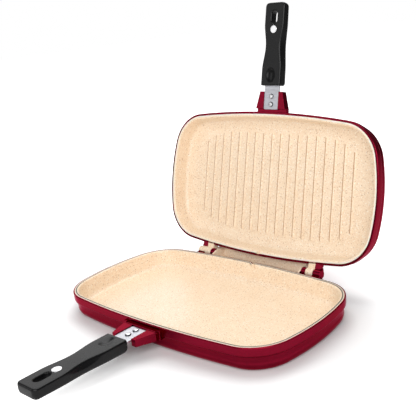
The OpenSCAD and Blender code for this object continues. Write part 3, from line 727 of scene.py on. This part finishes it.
def gutter(mesh, s, g):
    """Trough between the hinges that catches what runs off the open upper pan. A
    shoulder behind each inner knuckle and an end wall at each side close it."""
    axis_y, axis_z = hinge_axis(s, g)
    wall_rise, lean, corner_in, corner_up, soft = mm(4, 3, 1.5, 3, 0.6)
    shoulder_drop, shoulder_gap, overlap = mm(0.5, 0.7, 1)
    end_gap, end_rise, end_low = mm(1.2, 1.2, 2)
    back, top = axis_y + g.gutter_back, axis_z + wall_rise
    floor_z = s.lower_height - g.gutter_depth
    under = floor_z - g.gutter_wall
    foot = back - g.gutter_wall - lean
    root = rim_y(s, 0) - WALL_BITE
    rear = [(foot, under), (back - corner_in, under + corner_up), (back, top)]
    trough = [(root, under), *rear, (back - g.gutter_wall, top), (foot, floor_z), (root, floor_z)]
    shoulder_top, shoulder_y = top - shoulder_drop, axis_y + g.knuckle / 2 + shoulder_gap
    shoulder = rear[:2] + [(back, shoulder_top), (shoulder_y, shoulder_top), (shoulder_y, floor_z)]
    end_y = rim_y(s, g.start)
    end = [(end_y - WALL_BITE, under), *rear, (axis_y, top), (end_y + end_gap, axis_z + end_rise),
           (end_y + end_gap, axis_z - end_low), (end_y - WALL_BITE, axis_z - end_low)]
    faces_before = set(mesh.faces)
    prism(mesh, trough, -g.start, g.start, edge=soft)
    for side in (-1, 1):
        prism(mesh, shoulder, side * (g.start - overlap),
              side * (g.start + g.inner_knuckle - 0.2 * MM), edge=0.5 * MM)
    for side in (-1, 1):
        prism(mesh, end, side * (g.start - g.gutter_wall), side * g.start, edge=soft)
    new = [face for face in mesh.faces if face not in faces_before]
    bmesh.ops.recalc_face_normals(mesh, faces=new)
    # Ceramic covers what faces up and forwards, and the end walls inside the trough
    spray = Vector((0, -0.5, 0.87))
    for face in new:
        inside = abs(face.calc_center_median().x) < g.start - 2 * MM
        if face.normal.dot(spray) > 0.3 or (abs(face.normal.x) > 0.7 and inside):
            face.material_index = CERAMIC


def lower_hinge(mesh, s, g, side):
    """Two knuckles grown from the rear wall, and the ledge that the heel rests on."""
    axis_y, axis_z = hinge_axis(s, g)
    web_deep, web_top, ledge_back, ledge_in, ledge_rise = mm(12.5, 1, 9, 2.5, 0.1)
    inner, _, outer = knuckle_spans(g)
    for start, end in (inner, outer):
        knuckle(mesh, s, g, side * start, side * end, ENAMEL)
        rim = rim_y(s, end)
        prism(mesh, [(rim - WALL_BITE, axis_z - web_deep), (rim, axis_z - web_deep),
                     in_knuckle(s, g, -80), in_knuckle(s, g, 180),
                     (rim - WALL_BITE, axis_z - web_top)],
              side * start, side * end, ENAMEL, 0.6 * MM)
    top = axis_z + g.knuckle / 2 + ledge_rise
    prism(mesh, [in_knuckle(s, g, -90), (axis_y + ledge_back, axis_z - web_top),
                 (axis_y + ledge_back, top), (axis_y, top)],
          side * outer[0], side * (outer[1] - ledge_in), ENAMEL, 1.4 * MM)


def upper_hinge(mesh, s, g, side):
    """Lug, knuckle and stop heel of the upper pan, drawn in the shut position."""
    axis_y, axis_z = hinge_axis(s, g)
    lug_high, lug_back, lift, heel_clear, heel_in = mm(12, 1, 0.6, 0.3, 3)
    heel_low, heel_high, shoulder_in, shoulder_up = mm(0.8, 8.5, 4, 1.5)
    shut, radius = s.lower_height + g.shut_gap, g.knuckle / 2
    _, upper, outer = knuckle_spans(g)
    knuckle(mesh, s, g, side * upper[0], side * upper[1], CERAMIC)
    rim = rim_y(s, upper[1])
    prism(mesh, [(rim - WALL_BITE, shut), (axis_y - radius + KNUCKLE_BITE, shut),
                 in_knuckle(s, g, 225), in_knuckle(s, g, 60), (axis_y + lug_back, axis_z + radius),
                 (rim + lug_back, shut + lug_high), (rim - WALL_BITE, shut + lug_high)],
          side * upper[0], side * upper[1], CERAMIC, 0.5 * MM)
    lean = g.open_angle - math.pi / 2
    face = Vector((math.cos(lean), math.sin(lean)))
    along_face = Vector((-face.y, face.x))
    foot = Vector((axis_y, axis_z)) - (radius + heel_clear) * face
    low, high = foot + heel_low * along_face, foot + heel_high * along_face
    shoulder = (high.x - shoulder_in, high.y + shoulder_up)
    root = rim_y(s, outer[0]) - WALL_BITE
    prism(mesh, [(root, shut + lift), (low.x, low.y + lift), tuple(high), shoulder,
                 (root, shoulder[1])],
          side * upper[1], side * (outer[1] - heel_in), ENAMEL, 0.5 * MM)


def cream_overspray(mesh, s, g):
    """The ceramic spray drifts over the top of the left outer knuckle."""
    axis_z = hinge_axis(s, g)[1]
    past, inside, behind, above = mm(1, 0.2, 1, 0.8)
    start, end = knuckle_spans(g)[2]
    for face in mesh.faces:
        centre = face.calc_center_median()
        if (-end - past < centre.x < -start + inside and centre.y > s.depth / 2 - behind
                and centre.z > axis_z + above):
            face.material_index = CERAMIC


# ---------------------------------------------------------------- handles

GRIP_DROP = 0.3 * MM          # the grip's top below the rim
LOW_ROUND, TOP_ROUND, FRONT_ROUND = mm(4.5, 2.4, 1.2)
SCALLOP_DEEP = 10.5 * MM      # how far down the sides the scallops reach
SCALLOP_START, SCALLOP_SPAN, SCALLOP_BELOW = 0.18, 0.58, 0.3
DIMPLE_PLACE, DIMPLE_LONG, DIMPLE_WIDE, DIMPLE_DEEP = mm(14, 10.5, 7.5, 2)


def both_handles(s, g):
    """(name, body, height of the rim, place) of the two handles."""
    return (("lower", "lower_half", s.lower_height, Matrix.Identity(4)),
            ("upper", "upper_half", s.upper_height, upper_place(s, g)))


def scallop(share):
    """How deep the finger scallops are, at a share of the grip's length, from 0 to 1."""
    along = (share - SCALLOP_START) / SCALLOP_SPAN
    return 0.5 - 0.5 * math.cos(2 * math.pi * along) if 0 < along < 1 else 0


def shrink(radius, distance):
    """How much a face has drawn back at a distance inside a rounded end."""
    if distance >= radius:
        return 0
    return radius - math.sqrt(radius ** 2 - (radius - distance) ** 2)


def grip_section(half, low, top, low_r, top_r):
    """Rounded section of the grip as (x, z) points, the same number each time."""
    def corner(cx, cz, r, start):
        return arc((cx, cz), r, start, start + 90, 7)

    flank = [low + low_r + (top - top_r - low - low_r) * i / 9 for i in range(1, 9)]
    points = corner(half - top_r, top - top_r, top_r, 0)
    points += [(half - top_r - 2 * (half - top_r) * i / 27, top) for i in range(1, 27)]
    points += corner(-half + top_r, top - top_r, top_r, 90)
    points += [(-half, z) for z in reversed(flank)]
    points += corner(-half + low_r, low + low_r, low_r, 180)
    points += [(-half + low_r + 2 * (half - low_r) * i / 6, low) for i in range(1, 6)]
    points += corner(half - low_r, low + low_r, low_r, 270)
    return points + [(half, z) for z in flank]


def grip_thickness(h, share):
    return h.grip_thick + (h.grip_end_thick - h.grip_thick) * share


def grip_body(s, h, height):
    """Outer form of the grip, before its holes are cut."""
    near, top = -s.depth / 2 - h.grip_gap, height - GRIP_DROP
    # Rings lie closer together at the rounded ends and under the dimple
    places = mm(0.05, 0.25, 0.7, 1.3, 2, 3, 4, 5)
    places += mm(*(6 + 22 * i / 26 for i in range(26)), *(28 + 2 * i for i in range(41)))
    places = [p for p in places if p < h.grip_length - 6 * MM]
    places += [h.grip_length - p for p in mm(6, 4.6, 3.4, 2.4, 1.6, 1, 0.5, 0.2, 0.05)]
    hair = 0.01 * MM
    rings = []
    for along in places:
        share, rest = along / h.grip_length, h.grip_length - along
        half = h.grip_width / 2 - shrink(h.grip_corner, rest) - shrink(FRONT_ROUND, along)
        dip = (h.grip_width - h.waist) / 2 * scallop(share)
        cut = SCALLOP_DEEP * math.sqrt(scallop(share)) + hair
        high = top - shrink(TOP_ROUND, rest) - shrink(FRONT_ROUND, along)
        low = top - grip_thickness(h, share) + shrink(LOW_ROUND, rest) + shrink(LOW_ROUND, along)
        room = min(half, (high - low) / 2) * 0.98
        ring = []
        for x, z in grip_section(half, low, high, min(LOW_ROUND, room), min(TOP_ROUND, room)):
            reach = (x / DIMPLE_WIDE) ** 2 + ((along - DIMPLE_PLACE) / DIMPLE_LONG) ** 2
            if z > high - hair and reach < 1:
                z -= DIMPLE_DEEP * (1 - reach)
            x *= 1 - dip / half * max(SCALLOP_BELOW, 1 - (high - z) / cut) ** 0.8
            ring.append(Vector((x, near - along, z)))
        rings.append(ring)
    mesh = bmesh.new()
    skin(mesh, rings, [0] * (len(rings) - 1))
    bmesh.ops.recalc_face_normals(mesh, faces=mesh.faces)
    return mesh


def cut_slot(mesh, h, top, y):
    """The hanging slot, flared a little on top and more beneath."""
    low = top - grip_thickness(h, 1 - h.slot_from_end / h.grip_length)
    radius, half = h.slot_width / 2, (h.slot_length - h.slot_width) / 2
    edge, flare, past = mm(1.8, 3.5, 2)
    profile = [(edge, top + past)]
    profile += [(edge - x, top - edge + z) for x, z in arc((0, 0), edge, 80, 0, 4)]
    profile += [(flare - x, low + flare - z) for x, z in arc((0, 0), flare, 0, 80, 4)]
    profile += [(flare, low - past)]
    rings = [[Vector((x, along, z))
              for end, start in ((y + half, 0), (y - half, 180))
              for x, along in arc((0, end), radius + wider, start, start + 180, 14)]
             for wider, z in profile]
    skin(mesh, rings, [0] * (len(profile) - 1))


def cutters(s, h, height):
    """The slot, magnet seat, screw hole and tang pocket of a grip."""
    near, top = -s.depth / 2 - h.grip_gap, height - GRIP_DROP
    far, bottom = near - h.grip_length, top - h.grip_thick
    slot, magnet, screw, pocket = meshes = [bmesh.new() for _ in range(4)]
    cut_slot(slot, h, top, far + h.slot_from_end)
    cap, magnet_r, past, rim, ease = h.cap / 2 + 0.1 * MM, *mm(4.6, 1, 0.5, 0.4)
    cap_floor, magnet_floor = top - 1.3 * MM, top - 5.4 * MM
    lathe(magnet, [(cap + rim, top + past), (cap + ease, top), (cap, top - rim), (cap, cap_floor),
                   (magnet_r, cap_floor), (magnet_r, magnet_floor)],
          Matrix.Translation((0, far + h.magnet_from_end, 0)))
    head_r, shank_r, seat, past = mm(4, 2.2, 4.2, 2)
    lathe(screw, [(head_r, bottom - past), (head_r, bottom + seat), (shank_r, bottom + seat),
                  (shank_r, top - 3 * MM)], Matrix.Translation((0, near - h.screw_in_grip, 0)))
    tang_top, half_tang = height - h.tang_drop, h.tang_width / 2 + 0.1 * MM
    play, end_play, past = mm(0.05, 0.5, 2)
    block(pocket, (near + past, near - h.tang_in_grip - end_play),
          (tang_top - h.tang_thick - play, tang_top + play), (-half_tang, half_tang))
    for mesh in meshes:
        bmesh.ops.recalc_face_normals(mesh, faces=mesh.faces)
    return [as_object(f"cutter_{i}", mesh) for i, mesh in enumerate(meshes)]


# ---------------------------------------------------------------- operators

class Piece:
    """What the panel's operators share."""
    bl_options = {"REGISTER", "UNDO"}

    def settings(self, context):
        scene = context.scene
        return scene.flip_pan_sizes, scene.flip_pan_hinges, scene.flip_pan_handles


class CastLowerPan(Piece, bpy.types.Operator):
    """Cast the lower pan with its bracket, hinge knuckles and rear gutter"""
    bl_idname = "flip_pan.cast_lower_pan"
    bl_label = "Cast Lower Pan"

    def execute(self, context):
        s, g, h = self.settings(context)
        mesh = bmesh.new()
        section = wall_section(s, s.lower_height, s.lower_floor, s.lower_fillet, LOWER_BASE,
                               (GROOVE_IN, GROOVE_IN + s.groove), GROOVE_DEEP, ivory=True)
        cast_shell(mesh, s, section, (g.notch_width / 2, g.notch_depth))
        bracket(mesh, s, h, s.lower_height)
        gutter(mesh, s, g)
        # The nose beside the notch
        inwards, outwards, proud, deep, overlap, wide = mm(2.4, 0.4, 1.2, 5, 1, 3.4)
        y, top = s.depth / 2 - s.rim, s.lower_height + proud
        block(mesh, (y - inwards, y + outwards), (top - deep, top),
              (g.notch_width / 2 - overlap, g.notch_width / 2 + wide), CERAMIC, 0.8 * MM)
        for side in (-1, 1):
            lower_hinge(mesh, s, g, side)
        bmesh.ops.recalc_face_normals(mesh, faces=mesh.faces)
        cream_overspray(mesh, s, g)
        piece("lower_pan_casting", mesh, CAST_FINISHES, "lower_half",
              ["lower_pan"])
        return {"FINISHED"}


class CastUpperPan(Piece, bpy.types.Operator):
    """Cast the upper pan with its bracket, lugs, stop heels and drain nub"""
    bl_idname = "flip_pan.cast_upper_pan"
    bl_label = "Cast Upper Pan"

    def execute(self, context):
        s, g, h = self.settings(context)
        mesh = bmesh.new()
        section = wall_section(s, s.upper_height, s.upper_floor, s.upper_fillet, UPPER_BASE,
                               (GASKET_IN, GASKET_IN + s.gasket), GASKET_DEEP, ivory=False)
        cast_shell(mesh, s, section)
        bracket(mesh, s, h, s.upper_height, tied=False)
        mesh.transform(face_down(s, g))
        for side in (-1, 1):
            upper_hinge(mesh, s, g, side)
        # The nub that drips into the notch
        inwards, long, proud, high, half = mm(0.4, 4, 2.4, 2, 1.8)
        y, shut = s.depth / 2 - s.rim + inwards, s.lower_height + g.shut_gap
        block(mesh, (y, y + long), (shut - proud, shut + high), (-half, half), CERAMIC, 0.5 * MM)
        mesh.transform(swing_open(s, g))
        piece("upper_pan_casting", mesh, CAST_FINISHES, "upper_half",
              ["upper_pan"])
        return {"FINISHED"}


def rib_tree():
    """Grill ribs in a row: round-ended ridges, shorter towards the ends of the row.
    Each starts as a ball that is split in two, drawn apart and pressed flat."""
    tree, given, done = tree_with("grill_ribs", {
        "Count": "Int", "First": "Vector", "Step": "Vector", "Radius": "Float",
        "Height": "Float", "Half Straight": "Float", "Half End Cut": "Float", "Floor": "Float",
        "Finish": "Material"})
    position = add(tree, "GeometryNodeInputPosition", {})
    row = add(tree, "GeometryNodeMeshLine", {
        "Count": given["Count"], "Start Location": given["First"], "Offset": given["Step"]},
        mode="OFFSET")
    off = add(tree, "ShaderNodeSeparateXYZ", {0: add(
        tree, VECTORS, {0: position, 1: given["First"]}, operation="DIVIDE")})
    bend = add(tree, MATHS, {0: off, 1: 6.0}, operation="POWER")
    cut = add(tree, MATHS, {0: bend, 1: given["Half End Cut"]}, operation="MULTIPLY")
    straight = add(tree, MATHS, {0: given["Half Straight"], 1: cut}, operation="SUBTRACT")
    kept = add(tree, "GeometryNodeStoreNamedAttribute", {
        "Geometry": row, "Name": "half_straight", "Value": straight},
        data_type="FLOAT", domain="POINT")
    ball = add(tree, "GeometryNodeMeshUVSphere", {
        "Segments": 24, "Rings": 15, "Radius": given["Radius"]})
    lying = add(tree, "GeometryNodeTransform", {
        "Geometry": ball, "Rotation": (math.pi / 2, 0, 0)})
    ribs = add(tree, "GeometryNodeInstanceOnPoints", {"Points": kept, "Instance": lying})
    real = add(tree, "GeometryNodeRealizeInstances", {"Geometry": ribs})
    x, y, z = (add(tree, "ShaderNodeSeparateXYZ", {0: position}, axis) for axis in range(3))
    apart = add(tree, "GeometryNodeInputNamedAttribute", {"Name": "half_straight"},
                data_type="FLOAT")
    long = add(tree, MATHS, {0: add(tree, MATHS, {0: y}, operation="SIGN"), 1: apart, 2: y},
               operation="MULTIPLY_ADD")
    share = add(tree, MATHS, {0: z, 1: given["Radius"]}, operation="DIVIDE")
    # A power below 1 makes the flanks steep
    steep = add(tree, MATHS, {0: add(tree, MATHS, {0: share}, operation="ABSOLUTE"), 1: 0.7},
                operation="POWER")
    swell = add(tree, MATHS, {0: add(tree, MATHS, {0: share}, operation="SIGN"), 1: steep},
                operation="MULTIPLY")
    high = add(tree, MATHS, {0: swell, 1: given["Height"], 2: given["Floor"]},
               operation="MULTIPLY_ADD")
    moved = add(tree, "GeometryNodeSetPosition", {
        "Geometry": real, "Position": add(tree, "ShaderNodeCombineXYZ", {0: x, 1: long, 2: high})})
    feed(tree, done, {"Geometry": add(tree, "GeometryNodeSetMaterial", {
        "Geometry": moved, "Material": given["Finish"]})})
    return tree


class RaiseRibs(Piece, bpy.types.Operator):
    """Raise the grill ribs on the floor of the upper pan"""
    bl_idname = "flip_pan.raise_ribs"
    bl_label = "Raise Grill Ribs"

    def execute(self, context):
        s, g, _ = self.settings(context)
        first, half = -(s.rib_count - 1) / 2 * s.rib_pitch, s.rib_width / 2
        data = with_nodes("grill_ribs", rib_tree(), {
            "Count": s.rib_count, "First": (first, 0, 0), "Step": (s.rib_pitch, 0, 0),
            "Radius": half, "Height": s.rib_height, "Half Straight": s.rib_length / 2 - half,
            "Half End Cut": s.rib_end_cut / 2, "Floor": s.upper_floor,
            "Finish": material_called("ceramic")})
        # Faces on the left flank of each rib take the painted rib shade
        shade_from = -0.36 * half
        for face in data.polygons:
            aside = (face.center.x - first + s.rib_pitch / 2) % s.rib_pitch - s.rib_pitch / 2
            face.material_index = int(aside < shade_from)
        put(data, upper_place(s, g))
        dressed("grill_ribs", data, ["ceramic", "rib flank"], "upper_half",
                ["upper_pan"])
        return {"FINISHED"}


class LayGasket(Piece, bpy.types.Operator):
    """Lay the silicone gasket in the groove of the upper rim"""
    bl_idname = "flip_pan.lay_gasket"
    bl_label = "Lay Rim Gasket"

    def execute(self, context):
        s, g, _ = self.settings(context)
        near, far, bead = GASKET_IN, GASKET_IN + s.gasket, 0.7 * MM
        low, centre = s.upper_height - GASKET_DEEP, s.upper_height + s.gasket_proud - bead
        section = [(far, low), *arc((far - bead, centre), bead, 0, 90, 5),
                   *arc((near + bead, centre), bead, 90, 180, 5), (near, low)]
        mesh, stations = bmesh.new(), rim_stations(s)
        rings = [ring_at(stations, x, z) for x, z in section]
        skin(mesh, rings + [rings[0]], [0] * len(section), closed_ends=False)
        mesh.transform(upper_place(s, g))
        piece("rim_gasket_bead", mesh, ["silicone"], "upper_half", ["rim_gasket"])
        return {"FINISHED"}


class FitTangs(Piece, bpy.types.Operator):
    """Fit the steel tangs that join the grips to the brackets"""
    bl_idname = "flip_pan.fit_tangs"
    bl_label = "Fit Steel Tangs"

    def execute(self, context):
        s, g, h = self.settings(context)
        front, half = -s.depth / 2, h.tang_width / 2
        lower_start, upper_start, nick, edge = mm(4.6, 3.5, 1.5, 0.35)
        for name, body, height, place in both_handles(s, g):
            start = front - (lower_start if name == "lower" else upper_start)
            end, top = front - h.grip_gap - h.tang_in_grip, height - h.tang_drop
            plan = [(-half + nick, start), (-half, start - nick), (-half, end + nick),
                    (-half + nick, end)]
            plan += [(-x, y) for x, y in reversed(plan)]
            mesh = bmesh.new()
            solid(mesh, *([(x, y, z) for x, y in plan] for z in (top - h.tang_thick, top)),
                  edge=edge)
            mesh.transform(place)
            piece(f"{name}_steel_tang", mesh, ["steel"], body, [f"{name}_tang"])
        return {"FINISHED"}


def rivet_tree():
    """A row of like pieces."""
    tree, given, done = tree_with("row_of_rivets", {
        "Rivet": "Object", "Count": "Int", "Step": "Vector", "Finish": "Material"})
    row = add(tree, "GeometryNodeMeshLine", {
        "Count": given["Count"], "Offset": given["Step"]}, mode="OFFSET")
    rivet = add(tree, "GeometryNodeObjectInfo", {"Object": given["Rivet"]}, "Geometry")
    rivets = add(tree, "GeometryNodeInstanceOnPoints", {"Points": row, "Instance": rivet})
    real = add(tree, "GeometryNodeRealizeInstances", {"Geometry": rivets})
    feed(tree, done, {"Geometry": add(tree, "GeometryNodeSetMaterial", {
        "Geometry": real, "Material": given["Finish"]})})
    return tree


class SetRivets(Piece, bpy.types.Operator):
    """Set two domed rivets through each tang"""
    bl_idname = "flip_pan.set_rivets"
    bl_label = "Set Rivets"

    def execute(self, context):
        s, g, h = self.settings(context)
        tree = rivet_tree()
        radius, rise = h.rivet_head / 2, h.rivet_rise
        dark_from = 0.84 * radius
        floor_thick, neck_in, rim_in, gap, lift, pole = mm(3, 0.7, 0.2, 0.3, 0.4, 0.3)
        head = [(radius - neck_in, gap), (radius - rim_in, gap)]
        head += [(radius * math.cos(a), lift + (rise - lift) * math.sin(a))
                 for a in map(math.radians, range(0, 90, 9))] + [(pole, rise)]
        for name, body, height, place in both_handles(s, g):
            top = height - h.tang_drop
            bottom = top - h.tang_thick - floor_thick
            profile = [(x, bottom - z) for x, z in reversed(head)]
            profile += [(x, top + z) for x, z in head]
            mesh = bmesh.new()
            lathe(mesh, profile, Matrix.Identity(4))
            bmesh.ops.recalc_face_normals(mesh, faces=mesh.faces)
            one = as_object("one_rivet", mesh)
            data = with_nodes(f"{name}_rivets", tree, {
                "Rivet": one, "Count": 2, "Step": (0, -h.rivet_pitch, 0),
                "Finish": material_called("rivet")})
            bpy.data.objects.remove(one)
            # Faces near the edge of each head take the darker steel, painted shade round the head
            for face in data.polygons:
                aside = (h.rivet_pitch / 2 - face.center.y) % h.rivet_pitch - h.rivet_pitch / 2
                face.material_index = int(math.hypot(face.center.x, aside) > dark_from)
            put(data, place @ Matrix.Translation((0, -s.depth / 2 - h.rivet_place, 0)))
            dressed(f"{name}_rivets", data, ["rivet", "rivet edge"], body,
                    [f"{name}_inner_rivet", f"{name}_outer_rivet"])
        return {"FINISHED"}


class MouldGrips(Piece, bpy.types.Operator):
    """Mould the two grips with waist, thumb dimple, slot and pockets"""
    bl_idname = "flip_pan.mould_grips"
    bl_label = "Mould Grips"

    def execute(self, context):
        s, g, h = self.settings(context)
        for name, body, height, place in both_handles(s, g):
            grip = as_object(f"{name}_raw_grip", grip_body(s, h, height))
            tools = cutters(s, h, height)
            for tool in tools:
                cut = grip.modifiers.new("cut", "BOOLEAN")
                cut.object, cut.operation, cut.solver = tool, "DIFFERENCE", "EXACT"
            data = plain_mesh(grip)
            for tool in tools:
                bpy.data.objects.remove(tool)
            put(data, place)
            dressed(f"{name}_moulded_grip", data, ["bakelite"], body,
                    [f"{name}_grip"])
        return {"FINISHED"}


class PressMagnetCaps(Piece, bpy.types.Operator):
    """Press the polished caps over the magnets of the grips"""
    bl_idname = "flip_pan.press_magnet_caps"
    bl_label = "Press Magnet Caps"

    def execute(self, context):
        s, g, h = self.settings(context)
        radius = h.cap / 2
        y = -s.depth / 2 - h.grip_gap - h.grip_length + h.magnet_from_end
        thick, under, edge, crown = mm(1.2, 0.1, 0.35, 0.2)
        for name, body, height, place in both_handles(s, g):
            top = height - GRIP_DROP
            profile = [(radius * 0.5, top - thick), (radius - under, top - thick)]
            profile += arc((radius - edge, top - edge), edge, 0, 80, 5)
            profile += [(radius * r, top + crown * (1 - r * r)) for r in (0.85, 0.65, 0.4, 0.15)]
            mesh = bmesh.new()
            lathe(mesh, profile, Matrix.Translation((0, y, 0)), steps=56)
            mesh.transform(place)
            piece(f"{name}_cap", mesh, ["chrome"], body,
                  [f"{name}_magnet_cap"])
        return {"FINISHED"}


class FinishFittings(Piece, bpy.types.Operator):
    """Give the pins, screws, washers and magnets their finishes"""
    bl_idname = "flip_pan.finish_fittings"
    bl_label = "Finish Fittings"

    def execute(self, context):
        finishes = {"left_hinge_pin": "steel", "right_hinge_pin": "steel"}
        for half in ("lower", "upper"):
            finishes[f"{half}_handle_screw"] = "steel"
            finishes[f"{half}_spring_washer"] = "chrome"
            finishes[f"{half}_magnet"] = "ferrite"
        for name, finish in finishes.items():
            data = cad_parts[name].data
            data.materials.clear()
            data.materials.append(material_called(finish))
        return {"FINISHED"}


def look_from(place, azimuth, elevation, roll):
    """Camera matrix at a place, looking along a heading, with a roll in degrees."""
    a, e, r = map(math.radians, (azimuth, elevation, roll))
    back = Vector((math.sin(a) * math.cos(e), -math.cos(a) * math.cos(e), math.sin(e)))
    right = (-back).cross(Vector((0, 0, 1))).normalized()
    up = right.cross(-back)
    turned = math.cos(r) * right + math.sin(r) * up
    upright = math.cos(r) * up - math.sin(r) * right
    rows = [(turned[i], upright[i], back[i], place[i]) for i in range(3)] + [(0, 0, 0, 1)]
    return Matrix(rows)


# Soft boxes: name, place, what it faces, width in metres, brightness of its face
LIGHTS = (("key", (1.42, -1.1, 1.26), (0, 0.05, 0.1), 1.2, 4.9),
          ("front", (0.5, -1.9, 0.9), (0, 0, 0.1), 1.2, 3.3),
          ("front left", (-1.24, -1.28, 0.95), (0, 0, 0.2), 1.1, 1.05),
          ("left", (-1.55, 0.75, 0.9), (0, -0.15, 0), 1.2, 1.1),
          ("top", (-0.3, 0.6, 1.6), (0, 0, 0), 1.4, 3.2))
ROOM_LIGHT = 0.16             # of the white room, whose walls are seen at full strength


class SetStage(Piece, bpy.types.Operator):
    """Lay the pale floor and set the camera and the soft studio lights"""
    bl_idname = "flip_pan.set_stage"
    bl_label = "Set Stage"

    def execute(self, context):
        scene = context.scene
        mesh = bmesh.new()
        bmesh.ops.create_grid(mesh, x_segments=2, y_segments=2, size=6)
        floor = as_object("studio_floor", mesh)
        floor.data.materials.append(material_called("floor"))

        camera = bpy.data.cameras.new("camera")
        camera.sensor_width, camera.lens = 36, 60.5
        camera.shift_x, camera.shift_y = -0.173, -0.192
        camera.clip_start, camera.clip_end = 0.01, 50
        eye = bpy.data.objects.new("camera", camera)
        eye.matrix_world = look_from((0.60499, -0.56033, 0.37698), 39.25, 10.63, -5.39)
        scene.collection.objects.link(eye)
        scene.camera = eye

        for name, place, aim, size, brightness in LIGHTS:
            lamp = bpy.data.lights.new(name, "AREA")
            lamp.shape, lamp.size = "SQUARE", size
            lamp.energy = brightness * math.pi * size ** 2
            box = bpy.data.objects.new(name, lamp)
            turn = (Vector(place) - Vector(aim)).to_track_quat("Z", "Y")
            box.matrix_world = Matrix.Translation(place) @ turn.to_matrix().to_4x4()
            box.visible_camera = False
            scene.collection.objects.link(box)

        world = bpy.data.worlds.new("studio")
        world.use_nodes = True
        tree = world.node_tree
        seen = add(tree, LIGHT_PATH, {}, "Is Camera Ray")
        feed(tree, tree.nodes["Background"], {
            "Color": WHITE, "Strength": add(tree, SPREAD, {"Value": seen, "To Min": ROOM_LIGHT})})
        scene.world = world
        scene.view_settings.view_transform = "Standard"
        scene.view_settings.look = "None"
        return {"FINISHED"}


STEPS = (CastLowerPan, CastUpperPan, RaiseRibs, LayGasket, FitTangs, SetRivets, MouldGrips,
         PressMagnetCaps, FinishFittings, SetStage)
GROUPS = (("flip_pan_sizes", PanSizes), ("flip_pan_hinges", HingeSizes),
          ("flip_pan_handles", HandleSizes), ("flip_pan_finishes", Finishes))


class FlipPanPanel(bpy.types.Panel):
    """Lists the steps that make the flip pan, with their sizes and colours"""
    bl_idname = "VIEW3D_PT_flip_pan"
    bl_label = "Flip Pan"
    bl_space_type = "VIEW_3D"
    bl_region_type = "UI"
    bl_category = "Flip Pan"

    def draw(self, context):
        for step in STEPS:
            self.layout.operator(step.bl_idname)
        for key, group in GROUPS:
            box = self.layout.box()
            for name in group.__annotations__:
                box.prop(getattr(context.scene, key), name)


def register():
    for name, group in GROUPS:
        bpy.utils.register_class(group)
        setattr(bpy.types.Scene, name, bpy.props.PointerProperty(type=group))
    for step in STEPS + (FlipPanPanel,):
        bpy.utils.register_class(step)


def unregister():
    for step in reversed(STEPS + (FlipPanPanel,)):
        bpy.utils.unregister_class(step)
    for name, group in reversed(GROUPS):
        delattr(bpy.types.Scene, name)
        bpy.utils.unregister_class(group)


def main():
    register()
    for step in STEPS:
        family, name = step.bl_idname.split(".")
        getattr(getattr(bpy.ops, family), name)()


if __name__ == "__main__":
    main()
